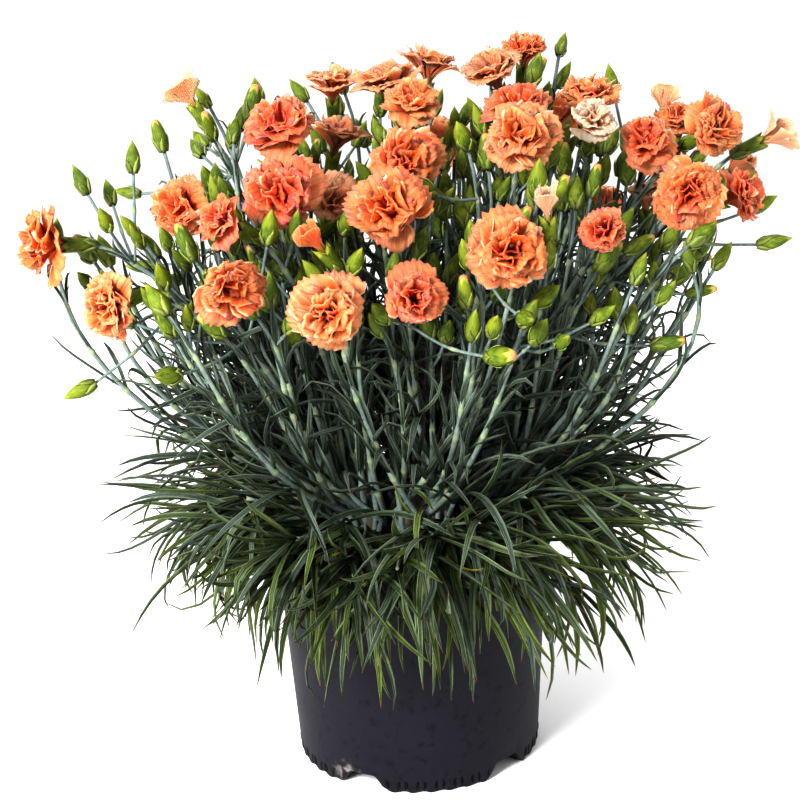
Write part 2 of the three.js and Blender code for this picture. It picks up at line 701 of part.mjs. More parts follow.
// One more bud leaves the top joint of every flowering stem, and some have another lower down.
for (const shoot of shoots) {
  for (const { joints } of shoot.stems) {
    for (const [joint, reach] of [[joints[2], 48], [joints[1], 84]]) {
      const [frame] = framesAlong([joint.at, joint.at.clone().add(joint.along)], CROWN_SIDE);
      growClear(shoot, joint, reach < 60 ? 14 : 2, () => {
        const turn = draw(0, 2 * Math.PI);
        const spread = draw(0.35, 0.85);
        const heading = joint.along.clone()
          .addScaledVector(frame.side, spread * Math.cos(turn))
          .addScaledVector(frame.across, spread * Math.sin(turn))
          .normalize();
        return budPiece(shoot, joint.at, joint.at.clone().addScaledVector(heading, reach * draw(0.85, 1.2)));
      });
    }
  }
}

// Leaves

// A leaf leaves its root at one heading and rise, then droops and curls evenly to its tip.
function leafPath(root, heading, rise, length, droop, curl, steps) {
  const path = [root.clone()];
  for (let k = 0; k < steps; k += 1) {
    const s = (k + 0.5) / steps;
    const elevation = rise - droop * s;
    const azimuth = heading + curl * s;
    const flat = Math.cos(elevation);
    const step = point(flat * Math.cos(azimuth), flat * Math.sin(azimuth), Math.sin(elevation));
    path.push(path[k].clone().addScaledVector(step, length / steps));
  }
  return path;
}

function leafPiece(shoot, path, width) {
  const inward = UP.clone().addScaledVector(shoot.crown, -0.01).normalize();
  return { path, rods: rodsAlong(path, 0.5 * width, shoot.owner), rings: leafRings(path, inward, width) };
}

// Short leafy side shoots spread low round the clump and carry the long arching leaves of the mound.
function addSideShoot(shoot, heading, rise) {
  const outward = point(Math.cos(heading), Math.sin(heading), 0.1);
  const face = shoot.body.faceTowards(shoot.body.bands[2], outward);
  const start = shoot.body.centre(face).addScaledVector(shoot.body.normal(face), INSET_LIFT);
  const grown = growClear(shoot, heartSite(face), 12, () => {
    const path = leafPath(start, heading + draw(-0.2, 0.2), rise + draw(-0.1, 0.2), draw(48, 64), -0.2, 0, 2);
    return { path, rods: rodsAlong(path, STEM_RADIUS, shoot.owner), rings: stemRings(path, STEM_RADIUS, 2) };
  });
  if (grown === null) {
    pieceNumber += SIDE_LEAVES[0] + SIDE_LEAVES[1];
    return;
  }
  const { path, bands } = grown;
  const sites = [
    { at: path[1], faces: bands[2], headings: [], count: SIDE_LEAVES[0] },
    { at: path[2], faces: [...bands[4], ...bands[5]], headings: [], count: SIDE_LEAVES[1] },
  ];
  for (const site of sites) {
    for (let n = 0; n < site.count; n += 1) {
      growClear(shoot, site, 30, () => {
        const side = heading + (n % 2 === 0 ? 1 : -1) * draw(0.15, 1);
        const tilt = rise + draw(-0.5, 0.4);
        const leaf = leafPath(site.at, side, tilt, draw(80, 112), draw(0.6, 2), draw(-0.5, 0.5), 3);
        return leafPiece(shoot, leaf, LEAF_WIDTH * draw(0.85, 1.1));
      });
    }
  }
}

for (const shoot of shoots.slice(1)) {
  const outward = Math.atan2(shoot.crown.y, shoot.crown.x);
  for (const [turn, rise] of [[-0.45, 0.15], [0, 0.6], [0.45, 0.35]]) {
    addSideShoot(shoot, outward + turn, rise);
  }
}

// Pairs of leaves at the two lower joints of each flowering stem.
for (const shoot of shoots) {
  for (const { joints } of shoot.stems) {
    for (const [joint, length, steps] of [[joints[0], 88, 3], [joints[1], 52, 2]]) {
      const [frame] = framesAlong([joint.at, joint.at.clone().add(joint.along)], CROWN_SIDE);
      nextPiece();
      const turn = draw(0, Math.PI);
      for (const sign of [1, -1]) {
        growClear(shoot, joint, 14, () => {
          const wander = turn + draw(-0.7, 0.7);
          const spread = draw(0.7, 1.5) * sign;
          const heading = joint.along.clone()
            .addScaledVector(frame.side, spread * Math.cos(wander))
            .addScaledVector(frame.across, spread * Math.sin(wander))
            .normalize();
          const azimuth = Math.atan2(heading.y, heading.x);
          const rise = Math.asin(heading.z);
          const [droop, curl] = [draw(0.1, 1.1), draw(-0.5, 0.5)];
          const leaf = leafPath(joint.at, azimuth, rise, length * draw(0.8, 1.15), droop, curl, steps);
          return leafPiece(shoot, leaf, LEAF_WIDTH * (steps === 3 ? 0.95 : 0.8));
        });
      }
    }
  }
}

// Leaves straight from the hearts: low ones arch over the pot's lip and hang, high ones stand up.
for (const shoot of shoots) {
  const { body, crown } = shoot;
  const inMiddle = crown.length() === 0;
  const lean = crown.clone().multiplyScalar(inMiddle ? 0 : HEART_LEAN / RING_RADIUS);
  const low = body.bands[2].filter((face) => body.faces[face] !== null);
  const high = body.bands[3].filter((face) => body.faces[face] !== null).slice(0, HIGH_LEAVES);
  for (const face of [...low, ...high]) {
    const root = body.centre(face).addScaledVector(body.normal(face), INSET_LIFT);
    const outward = body.normal(face).add(lean);
    const azimuth = Math.atan2(outward.y, outward.x);
    const level = (root.z - CROWN_HEIGHTS[2]) / (CROWN_TOP - CROWN_HEIGHTS[2]);
    growClear(shoot, heartSite(face), 40, (attempt) => {
      const rise = (inMiddle ? 0.9 : 0.15) + 1.1 * level + 0.015 * attempt + draw(-0.1, 0.2);
      const droop = inMiddle ? draw(0, 0.8) : draw(1.4, 2.2) * (1 - 0.5 * level);
      const leaf = leafPath(root, azimuth + draw(-0.6, 0.6), rise, draw(95, 126), droop, draw(-0.4, 0.4), 3);
      return leafPiece(shoot, leaf, LEAF_WIDTH * draw(0.9, 1.1));
    });
  }
}

// Putting it together

const plant = new THREE.Group();
plant.name = "dianthus_in_pot";

function addPart(name, geometry, finish) {
  const mesh = new THREE.Mesh(geometry, new THREE.MeshStandardMaterial(finish));
  mesh.name = name;
  plant.add(mesh);
  return mesh;
}

addPart("pot", buildPot(), PLASTIC);
addPart("soil", buildSoil(), PEAT);
for (const shoot of shoots) addPart(`shoot_${shoot.n}`, shoot.body.toGeometry(), GREEN);
for (const { n, facing, width, openness, shade, mouth } of heads) {
  const finish = { name: `${shade} petals`, color: PETAL_COLOURS[shade], roughness: 0.7, metalness: 0 };
  nextPiece();
  const bloom = addPart(`bloom_${String(n + 1).padStart(2, "0")}`, clearBloom(width, openness), finish);
  bloom.quaternion.setFromUnitVectors(UP, facing);
  bloom.position.copy(mouth).addScaledVector(facing, GAP);
}

export default plant;
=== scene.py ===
"""A double-flowered dianthus in its nursery pot: the finished surfaces over its plain solids.

Lengths are in millimetres until a mesh is made, heights are above the ground that the pot stands on,
and +Z is up. The plant's plan is grown by rule from the places of its flowers; each kind of piece is
then one surface formula, worked out for all its copies at once.
"""

import json
import math

import bpy
import numpy as np
from mathutils import Matrix

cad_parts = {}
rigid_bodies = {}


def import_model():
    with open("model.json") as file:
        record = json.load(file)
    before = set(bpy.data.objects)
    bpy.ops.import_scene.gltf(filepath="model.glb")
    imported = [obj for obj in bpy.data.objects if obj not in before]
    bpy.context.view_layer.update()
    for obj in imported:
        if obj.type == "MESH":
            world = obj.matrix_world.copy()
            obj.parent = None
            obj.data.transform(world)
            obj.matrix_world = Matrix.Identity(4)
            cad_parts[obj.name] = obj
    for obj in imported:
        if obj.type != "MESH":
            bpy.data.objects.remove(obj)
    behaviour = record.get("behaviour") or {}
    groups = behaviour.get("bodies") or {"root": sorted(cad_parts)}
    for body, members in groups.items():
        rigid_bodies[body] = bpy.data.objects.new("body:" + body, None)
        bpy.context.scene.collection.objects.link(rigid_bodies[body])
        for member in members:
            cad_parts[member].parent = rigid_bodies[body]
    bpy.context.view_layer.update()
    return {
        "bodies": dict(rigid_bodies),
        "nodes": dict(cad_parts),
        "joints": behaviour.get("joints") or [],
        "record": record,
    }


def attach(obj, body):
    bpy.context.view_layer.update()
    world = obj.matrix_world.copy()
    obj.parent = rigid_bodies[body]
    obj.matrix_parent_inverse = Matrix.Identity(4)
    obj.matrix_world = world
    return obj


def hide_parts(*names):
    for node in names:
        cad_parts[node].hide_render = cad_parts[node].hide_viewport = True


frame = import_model()

# ---------------------------------------------------------------------------------------------------
# Nursery pot. A thin tapered shell of black polyethylene, blow moulded and trimmed: a stepped lip at
# the top, and a foot ring that is pinched all round and arched up in places for drainage.
# ---------------------------------------------------------------------------------------------------

MM = 0.001
RIM_RADIUS = 97
LIP_RADIUS = 100
LIP_HEIGHT = 10
LIP_TAPER = 0.6
BASE_RADIUS = 87
POT_HEIGHT = 165
WALL = 1.8
FLOOR = 3
DRAIN_NOTCHES = 5
NOTCH_ANGLE = 0.45
NOTCH_WIDTH = 38
NOTCH_HEIGHT = 11
NOTCH_DEPTH = 20
FOOT_WIDTH = 7
CRIMP_SPACING = 13
CRIMP_HEIGHT = 5.2
POT_COLUMNS = 720
SCUFF_PLACE = (-0.052, -0.070, 0.009)


def ring_faces(rings, across, start=0, closed=True):
    """The quads between `rings` rows of `across` points, row by row; closed joins the row's ends."""
    row = np.arange(rings - 1)[:, None] * across
    here = np.arange(across if closed else across - 1)[None]
    there = (here + 1) % across
    quads = np.stack([row + here, row + there, row + across + there, row + across + here], -1)
    return quads.reshape(-1, 4) + start


def add_piece(name, points, faces, finish, slot, replaces, creased_by=None, **attributes):
    """Makes one mesh of points in millimetres and arrays of quads or triangles, with a number per
    point for each attribute, and says which body it rides on and which solids it stands in for.
    Its shading is smooth, but for the edges whose ends both have the creasing attribute at 1 or -1."""
    points = np.asarray(points, np.float32).reshape(-1, 3) * MM
    faces = faces if isinstance(faces, list) else [faces]
    mesh = bpy.data.meshes.new(name)
    mesh.vertices.add(len(points))
    mesh.vertices.foreach_set("co", points.ravel())
    sizes = np.concatenate([np.full(len(block), block.shape[1]) for block in faces])
    corners = np.concatenate([block.ravel() for block in faces]).astype(np.int32)
    mesh.loops.add(len(corners))
    mesh.loops.foreach_set("vertex_index", corners)
    mesh.polygons.add(len(sizes))
    mesh.polygons.foreach_set("loop_start", np.concatenate([[0], np.cumsum(sizes)[:-1]]).astype(np.int32))
    mesh.update(calc_edges=True)
    mesh.polygons.foreach_set("use_smooth", np.full(len(sizes), True))
    if creased_by:
        ends = np.empty(2 * len(mesh.edges), np.int32)
        mesh.edges.foreach_get("vertices", ends)
        creased = np.prod(attributes[creased_by][ends.reshape(-1, 2)], axis=1) > 0.99
        mesh.attributes.new("sharp_edge", "BOOLEAN", "EDGE").data.foreach_set("value", creased)
    for label, values in attributes.items():
        values = np.broadcast_to(values, len(points)) if np.ndim(values) == 0 else values
        layer = mesh.attributes.new(label, "FLOAT", "POINT")
        layer.data.foreach_set("value", np.asarray(values, np.float32).ravel())
    mesh.materials.append(finish)
    piece = bpy.data.objects.new(name, mesh)
    bpy.context.scene.collection.objects.link(piece)
    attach(piece, "root")
    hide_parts(*replaces)


class Signal:
    """A socket of a material's nodes. Arithmetic on it adds Math nodes; add() adds any other node."""

    def __init__(self, tree, socket=None):
        self.tree, self.socket = tree, socket

    def add(self, kind, sockets=None, output=0, stops=None, **settings):
        """Adds a node of a type: settings and ramp stops first, then values or links of its sockets."""
        node = self.tree.nodes.new(kind)
        for label, value in settings.items():
            setattr(node, label, value)
        if stops:
            while len(node.color_ramp.elements) < len(stops):
                node.color_ramp.elements.new(1)
            for element, (place, colour) in zip(node.color_ramp.elements, stops):
                element.position, element.color = place, (*colour, 1)
        for key, value in (sockets or {}).items():
            if isinstance(value, Signal):
                self.tree.links.new(value.socket, node.inputs[key])
            else:
                node.inputs[key].default_value = value
        return Signal(self.tree, node.outputs[output]) if node.outputs else node

    def maths(self, operation, *values):
        """A Math node on the values given, which are all of its inputs."""
        return self.add("ShaderNodeMath", dict(enumerate(values)), operation=operation)

    def __add__(self, other):
        return self.maths("ADD", self, other)

    def __sub__(self, other):
        return self.maths("SUBTRACT", self, other)

    def __mul__(self, other):
        return self.maths("MULTIPLY", self, other)

    def __truediv__(self, other):
        return self.maths("DIVIDE", self, other)

    def __pow__(self, other):
        return self.maths("POWER", self, other)

    def __rsub__(self, other):
        return self.maths("SUBTRACT", other, self)

    __radd__ = __add__
    __rmul__ = __mul__

    def between(self, low, high):
        """0 below low and 1 above high, with an even slope between them."""
        return self.add("ShaderNodeMapRange", {0: self, 1: low, 2: high}, clamp=True)

    def mix(self, low, high):
        """The colour low where this is 0 and high where it is 1."""
        ends = {6: low, 7: high}
        ends = {key: value if isinstance(value, Signal) else (*value, 1) for key, value in ends.items()}
        return self.add("ShaderNodeMix", {0: self, **ends}, output=2, data_type="RGBA")


class Finish:
    """A material under construction: object coordinates, attributes and noises to work from."""

    def __init__(self, name):
        self.material = bpy.data.materials.new(name)
        self.material.use_nodes = True
        self.tree = self.material.node_tree
        self.tree.nodes.clear()
        self.signal = Signal(self.tree)
        self.place = self.signal.add("ShaderNodeTexCoord", output="Object")

    def attribute(self, name):
        """The number that the mesh holds for each point under a name."""
        return self.signal.add("ShaderNodeAttribute", output="Fac", attribute_name=name)

    def noise(self, scale, detail=2, stretch=(1, 1, 1), at=None):
        """Soft noise from 0 to 1: scale is in waves per metre on object coordinates."""
        at = at or self.place
        at = self.signal.add("ShaderNodeVectorMath", {0: at, 1: stretch}, operation="MULTIPLY")
        return self.signal.add("ShaderNodeTexNoise", {"Vector": at, "Scale": scale, "Detail": detail})

    def vector(self, x, y, z=0.0):
        """Two or three numbers as one place, for a noise that follows the surface."""
        return self.signal.add("ShaderNodeCombineXYZ", {0: x, 1: y, 2: z})

    def done(self, colour, roughness, height=None, depth=0.0, **constants):
        """Wires the shader: colour and roughness may vary, height feeds a Bump of a depth in metres,
        and constants are set on the shader's own sockets."""
        sockets = {"Base Color": colour if isinstance(colour, Signal) else (*colour, 1)}
        sockets["Roughness"] = roughness
        if height is not None:
            sockets["Normal"] = self.signal.add("ShaderNodeBump", {"Height": height, "Distance": depth})
        sockets.update({label.replace("_", " "): value for label, value in constants.items()})
        shader = self.signal.add("ShaderNodeBsdfPrincipled", sockets)
        self.signal.add("ShaderNodeOutputMaterial", {"Surface": shader})
        return self.material


def smooth_step(x):
    """3 x^2 - 2 x^3, which is 0 below 0 and 1 above 1."""
    x = np.clip(x, 0, 1)
    return x * x * (3 - 2 * x)


def pot_plastic():
    """Black plastic with a bluish cast: fine dark speckles, faint drifts of dust, painted shade near black
    in the grooves of the pinches, and one pale scuff where it was dragged at the edge of a notch."""
    f = Finish("black moulded plastic")
    groove = f.attribute("groove")
    grain = f.noise(1100, 3)
    cloud = f.noise(26, 4)
    spots = f.noise(170, 3).between(0.56, 0.70)
    from_scuff = {0: f.place, 1: SCUFF_PLACE}
    near = f.signal.add("ShaderNodeVectorMath", from_scuff, output=1, operation="DISTANCE")
    worn = f.noise(150, 4)
    scuff = near.between(0.014, 0.003) * worn.between(0.42, 0.58)
    base = (cloud * 0.6 + grain * 0.4).mix((0.0050, 0.0046, 0.0076), (0.0145, 0.0136, 0.0214))
    base = (spots * 0.75).mix(base, (0.003, 0.003, 0.004))
    # Painted shade: near black in the grooves of the pinches, where their shadow falls.
    base = (groove * 0.95).mix(base, (0.001, 0.001, 0.001))
    base = (scuff * 0.7).mix(base, worn.between(0.5, 0.62).mix((0.12, 0.085, 0.045), (0.22, 0.22, 0.23)))
    roughness = 0.40 + cloud * 0.14 + grain * 0.08 + scuff * 0.3
    return f.done(base, roughness, grain * 0.5 + f.noise(120, 2) * 0.6, 0.0003, Specular_IOR_Level=0.15)


def notch_arch(angle):
    """How high the foot is arched up at an angle: a flat-topped hump over each drain notch."""
    pitch = 2 * math.pi / DRAIN_NOTCHES
    off = (angle - NOTCH_ANGLE + pitch / 2) % pitch - pitch / 2
    reach = np.abs(off) * BASE_RADIUS
    return NOTCH_HEIGHT * (1 - smooth_step((reach - 0.22 * NOTCH_WIDTH) / (0.3 * NOTCH_WIDTH)))


def pot_surface():
    """A closed profile of radius and height, turned about the axis. Its foot is lifted by the arch of
    each notch, and the wall just above it is pinched into raised ovals between pairs of grooves."""
    angle = 2 * math.pi * np.arange(POT_COLUMNS) / POT_COLUMNS
    arch = notch_arch(angle)
    lip_foot, wall_top = POT_HEIGHT - LIP_HEIGHT, RIM_RADIUS - LIP_TAPER
    recess = BASE_RADIUS - NOTCH_DEPTH
    outer_z = np.concatenate([np.linspace(0.4, 12, 15), (16, 22, 30, 60, 100, lip_foot - 12)])
    slope = (wall_top - BASE_RADIUS) / (lip_foot - 1.5)
    rows = [(1.0, 0.0, 0), (0.6 * recess, 0.0, 0), (recess - 1.5, 0.0, 0), (recess, 0.0, 0.5),
            (recess + 1.5, 0.0, 1), (BASE_RADIUS - FOOT_WIDTH, 0.0, 1), (BASE_RADIUS - 2, 0.0, 1),
            (BASE_RADIUS - 0.7, 0.1, 1)]
    rows += [(BASE_RADIUS + slope * z, z, 1) for z in outer_z]
    lip = [(wall_top - 0.2, -10), (wall_top + 0.35, -9.2), (wall_top + 0.1, -8), (wall_top - 0.1, -3.2),
           (wall_top + 0.5, -2.4), (wall_top + 0.4, -1.6), (wall_top + 0.1, -0.9), (LIP_RADIUS - 1.1, -0.2),
           (LIP_RADIUS - 0.3, 0.3), (LIP_RADIUS, 1.2), (LIP_RADIUS - 0.1, 3.4), (LIP_RADIUS - 0.5, 4.1),
           (LIP_RADIUS - 0.5, 5.0), (LIP_RADIUS - 0.05, 5.8), (LIP_RADIUS, 8.6), (LIP_RADIUS - 0.4, 9.6),
           (LIP_RADIUS - 1.3, 10), (RIM_RADIUS + 0.4, 9.8), (RIM_RADIUS, 9.2)]
    rows += [(radius, lip_foot + z, 0) for radius, z in lip]
    inner = [(wall_top - WALL, lip_foot - 2), (BASE_RADIUS - WALL + 2, 60), (BASE_RADIUS - WALL, 20)]
    rows += [(radius, z, 0) for radius, z in inner]
    rows += [(BASE_RADIUS - WALL, FLOOR + 1, 1), (recess, FLOOR, 1)]
    rows += [(recess - 5, FLOOR, 0), (1.0, FLOOR, 0)]
    radius, z, lifted = (np.array(column)[:, None] for column in zip(*rows))
    on_wall = (z > 0.05) & (z < 14) & (lifted == 1) & (radius >= BASE_RADIUS)
    lift = arch * lifted * smooth_step(1 - (z - 1.0) / 26)
    count = round(2 * math.pi * BASE_RADIUS / CRIMP_SPACING)
    phase = count * angle / (2 * math.pi) % 1 - 0.5
    plain = 1 - smooth_step(arch / 4)
    window = np.exp(-(((z - CRIMP_HEIGHT) / 3.9) ** 4))
    bow = 0.21 - 0.06 * ((z - CRIMP_HEIGHT) / 4) ** 2
    groove = np.exp(-(((np.abs(phase) - bow) / 0.06) ** 2)) * window * plain * on_wall
    bulge = np.exp(-((phase / 0.15) ** 2)) * window * plain * on_wall
    radius = radius - 2.0 * groove + 0.5 * bulge
    scallop = 1.7 * (0.5 + 0.5 * np.cos(2 * math.pi * phase)) * plain * smooth_step(1 - z / 5)
    foot = (radius > BASE_RADIUS - 4) & (z < 6) & (lifted == 1)
    x, y = radius * np.cos(angle), radius * np.sin(angle)
    return np.stack([x, y, z + lift + np.where(foot, scallop, 0)], -1), np.broadcast_to(groove, x.shape)


pot, groove = pot_surface()
rings = len(pot)
faces = ring_faces(rings, POT_COLUMNS)
under = np.arange(POT_COLUMNS)[::-1][None]
inside = np.arange(POT_COLUMNS)[None] + (rings - 1) * POT_COLUMNS
add_piece("pot_shell", pot, [faces, under, inside], pot_plastic(), "black_plastic", ["pot"], groove=groove)

# ---------------------------------------------------------------------------------------------------
# Potting mix. Damp peat with crumbs of bark, poured in and watered down to just under the lip.
# ---------------------------------------------------------------------------------------------------

SOIL_TOP = 150
SOIL_GAP = 0.6
SOIL_AROUND = 150
WALL_HEIGHT = 153


def waves(x, y, count, size, seed):
    """Uneven ground: the mean of `count` sine waves of random headings with lengths near `size`."""
    rng = np.random.default_rng(seed)
    turn, phase = rng.uniform(0, 2 * math.pi, (2, count))
    stretch = 2 * math.pi / (size * rng.uniform(0.6, 1.6, count))
    total = sum(np.sin(k * (x * math.cos(t) + y * math.sin(t)) + p)
                for k, t, p in zip(stretch, turn, phase))
    return total / math.sqrt(count)


def soil_surface():
    """Rings of points: out over the crumbly top, down the wall of the pot and back under the mix."""
    angle = 2 * math.pi * np.arange(SOIL_AROUND) / SOIL_AROUND
    reach = np.linspace(0.004, 1, 40)[:, None]
    edge = BASE_RADIUS + (RIM_RADIUS - LIP_TAPER - BASE_RADIUS) * SOIL_TOP / WALL_HEIGHT - WALL - SOIL_GAP
    x, y = reach * edge * np.cos(angle), reach * edge * np.sin(angle)
    crumbs = 1.0 * waves(x, y, 9, 26, 3) + 0.7 * waves(x, y, 12, 9, 4) + 0.45 * waves(x, y, 14, 4, 5)
    z = SOIL_TOP - 1.5 + crumbs - 3 * smooth_step((reach - 0.93) / 0.07)
    top = np.stack([x, y, z], -1)
    low, bottom = BASE_RADIUS - WALL - SOIL_GAP, NOTCH_HEIGHT + FLOOR + 1
    sides = [(edge, SOIL_TOP - 8), (low, bottom + 2), (low - 1, bottom), (1, bottom)]
    walls = [np.stack([r * np.cos(angle), r * np.sin(angle), 0 * angle + h], -1) for r, h in sides]
    return np.concatenate([top, walls])


def peat():
    """Dark brown crumbs with paler fibres of bark."""
    f = Finish("potting mix")
    crumb = f.noise(420, 5)
    fibre = f.noise(150, 3, (1, 4, 1)).between(0.58, 0.72)
    base = crumb.between(0.3, 0.7).mix((0.010, 0.007, 0.005), (0.060, 0.038, 0.022))
    base = (fibre * 0.6).mix(base, (0.16, 0.10, 0.055))
    return f.done(base, 0.85 - crumb * 0.2, crumb, 0.0015)


soil = soil_surface()
faces = ring_faces(len(soil), SOIL_AROUND)[:, ::-1]
middle = np.arange(SOIL_AROUND)[None]
ends = [middle, middle[:, ::-1] + (len(soil) - 1) * SOIL_AROUND]
add_piece("soil_fill", soil, [faces, *ends], peat(), "potting_mix", ["soil"])


# ---------------------------------------------------------------------------------------------------
# The clump's plan. A dianthus is a clump of rooted shoots: from each crown stems rise to the flowers,
# with buds and pairs of leaves at their joints, and short side shoots carry the arching mound.
# ---------------------------------------------------------------------------------------------------

RING_SHOOTS = 7
RING_RADIUS = 50
RING_ANGLE = -1.35
CROWN_HEIGHTS = [126.3, 151, 164, 186, 203, 212]
CROWN_RADII = [7, 7.5, 17, 18.5, 10, 0]
STEMS_EACH = 7
STEM_TRIES = 200
STEM_RADIUS = 1.6
STEM_STATIONS = [0, 0.35, 0.6, 0.84, 1]
TUBE_LENGTH = 19
TUBE_RADIUS = 4.4
BLOOM_SPOKES = 9
SPOKE_RADIUS = 6
BUD_LENGTH = 21
BUD_RADIUS = 5.4
STALK_RADIUS = 1.1
LEAF_WIDTH = 4.4
INSET_LIFT = 0.8
SIDE_LEAVES = [2, 3]
HEART_LEAN = 0.8
HIGH_LEAVES = 3
CLEARANCE = 0.4
LEAST_SPREAD = 0.5
LEAST_FACING = 0.15
SAME_LOOK = 1e-6
DRAWN_TO_SOIL = 0.4
UP = np.array([0.0, 0.0, 1.0])
CROWN_SIDE = np.array([1.0, 0.2, 0.0])

# Every flower head: the middle of the flower, the way it faces, its width, how far it has opened
# (1 is flat out, under 0.5 is a bud that has just split) and its shade.
HEADS = [
    (-229, -60, 384, -1, -0.4, 0.1, 50, 1, "orange"),
    (-179, -110, 351, -0.6, -0.8, -0.1, 42, 0.95, "peach"),
    (-136, -70, 405, -0.5, -0.8, 0.3, 44, 0.9, "orange"),
    (-146, 60, 471, -0.5, 0, 0.85, 28, 0.5, "pale"),
    (-98, -152, 368, 0.45, -0.85, -0.1, 44, 1, "orange"),
    (-72, -20, 452, -0.1, -0.6, 0.8, 52, 1, "coral"),
    (-71, -90, 413, 0, -0.95, 0.3, 50, 1, "coral"),
    (-106, -122, 404, -0.7, -0.5, 0.5, 34, 0.9, "coral"),
    (-42, -40, 400, 0.2, -0.7, 0.7, 32, 0.7, "faded"),
    (-44, 110, 469, 0, -0.2, 1, 38, 0.8, "faded"),
    (-1, 60, 471, -0.2, -0.2, 1, 50, 1, "faded"),
    (30, 120, 478, 0.3, 0, 1, 42, 0.9, "faded"),
    (13, 0, 460, 0.1, -0.5, 0.85, 42, 1, "peach"),
    (-40, 40, 437, 0.2, -0.2, 0.95, 36, 0.8, "faded"),
    (5, -60, 428, 0.1, -0.85, 0.5, 48, 1, "orange"),
    (-5, -112, 404, -0.1, -0.9, 0.4, 52, 1, "orange"),
    (-41, -170, 353, -0.1, -1, 0.1, 48, 1, "peach"),
    (8, -160, 358, 0.1, -0.9, 0.3, 40, 0.75, "coral"),
    (65, -160, 383, 0.2, -0.95, 0.2, 52, 1, "orange"),
    (94, 60, 489, 0.1, -0.3, 0.95, 36, 0.85, "orange"),
    (68, 22, 477, -0.3, -0.3, 0.9, 42, 0.95, "faded"),
    (83, -22, 457, 0, -0.4, 0.9, 48, 1, "coral"),
    (77, -84, 443, 0, -0.8, 0.55, 48, 1, "peach"),
    (133, 22, 460, 0.1, -0.3, 0.95, 42, 1, "peach"),
    (128, -32, 446, 0, -0.7, 0.7, 36, 0.9, "pale"),
    (193, 66, 452, 0.2, 0, 1, 22, 0.45, "pale"),
    (163, -24, 431, -0.2, -0.8, 0.5, 38, 0.95, "coral"),
    (198, 40, 437, 0.2, -0.5, 0.8, 38, 0.9, "orange"),
    (207, -34, 437, 0.5, -0.8, 0.4, 44, 1, "peach"),
    (255, -10, 430, 0.9, -0.1, 0.4, 26, 0.5, "pale"),
    (245, 62, 403, 0.8, 0.2, 0.6, 30, 0.85, "faded"),
    (180, -92, 404, -0.1, -0.95, 0.2, 46, 1, "orange"),
    (222, -56, 395, 0.85, -0.4, 0.2, 40, 0.95, "coral"),
    (123, -120, 387, 0, -0.9, 0.4, 30, 0.8, "coral"),
    (172, 24, 388, 0, -0.3, 0.9, 24, 0.7, "faded"),
    (88, -126, 408, -0.1, -0.2, 1, 18, 0.35, "pale"),
    (-52, -124, 392, -0.5, -0.4, 0.75, 18, 0.35, "peach"),
    (-172, 165, 375, -0.6, 0.8, 0.25, 46, 1, "orange"),
    (-120, 185, 330, -0.3, 0.95, 0, 42, 1, "peach"),
    (-90, 168, 395, -0.2, 0.9, 0.5, 48, 1, "coral"),
    (-8, 185, 372, 0, 0.95, 0.3, 50, 1, "orange"),
    (40, 175, 420, 0.1, 0.8, 0.7, 44, 0.95, "peach"),
    (92, 188, 345, 0.2, 1, 0, 46, 1, "coral"),
    (160, 160, 362, 0.6, 0.8, 0.2, 44, 1, "orange"),
    (214, 122, 385, 0.8, 0.6, 0.4, 40, 0.9, "peach"),
    (125, 130, 440, 0.3, 0.6, 0.8, 42, 1, "orange"),
]

# Long side branches that end in a bud instead of a flower: where the bud's tip lies.
BUD_TIPS = [
    (-211, -20, 430), (-196, 8, 418), (-175, -10, 436), (-127, 20, 456), (-94, 40, 470),
    (-185, -80, 410), (-214, -96, 292), (-146, -156, 318), (250, -62, 368), (262, 22, 384),
    (176, -96, 312), (33, 62, 466), (60, -10, 460), (155, 84, 474), (118, 78, 474),
    (32, -62, 416), (74, -184, 348), (96, -172, 336), (60, -192, 330), (198, -84, 342),
    (-204, 70, 402), (-206, 112, 340), (-150, 110, 432), (-60, 190, 318), (30, 205, 330),
    (130, 196, 310), (205, 160, 330), (232, 96, 330), (-20, 120, 440), (-110, 110, 455),
    (170, 110, 425), (-150, 60, 400),
]


class Draws:
    """Seeded draws, started again for every piece, so that one piece's luck never moves another."""

    def __init__(self):
        self.state = 0
        self.piece = 0

    def next_piece(self):
        """Starts the draws of the next piece."""
        self.piece += 1
        self.state = self.piece * 7919

    def __call__(self, low, high):
        self.state = (self.state + 0x6D2B79F5) & 0xFFFFFFFF
        mixed = (self.state ^ (self.state >> 15)) * (self.state | 1) & 0xFFFFFFFF
        mixed ^= mixed + (mixed ^ (mixed >> 7)) * (mixed | 61) & 0xFFFFFFFF
        return low + (high - low) * (mixed ^ (mixed >> 14)) / 4294967296


draw = Draws()


def unit(v):
    """A vector's direction, with length 1."""
    return v / np.linalg.norm(v)


def frames_along(path, side):
    """The direction of a path at each point, by central differences, and a side direction carried
    along it without twist: rows of (along, side, across), with across = along x side."""
    frames = []
    for i in range(len(path)):
        along = unit(path[min(i + 1, len(path) - 1)] - path[max(i - 1, 0)])
        side = unit(side - along * (side @ along))
        frames.append((along, side, np.cross(along, side)))
    return frames


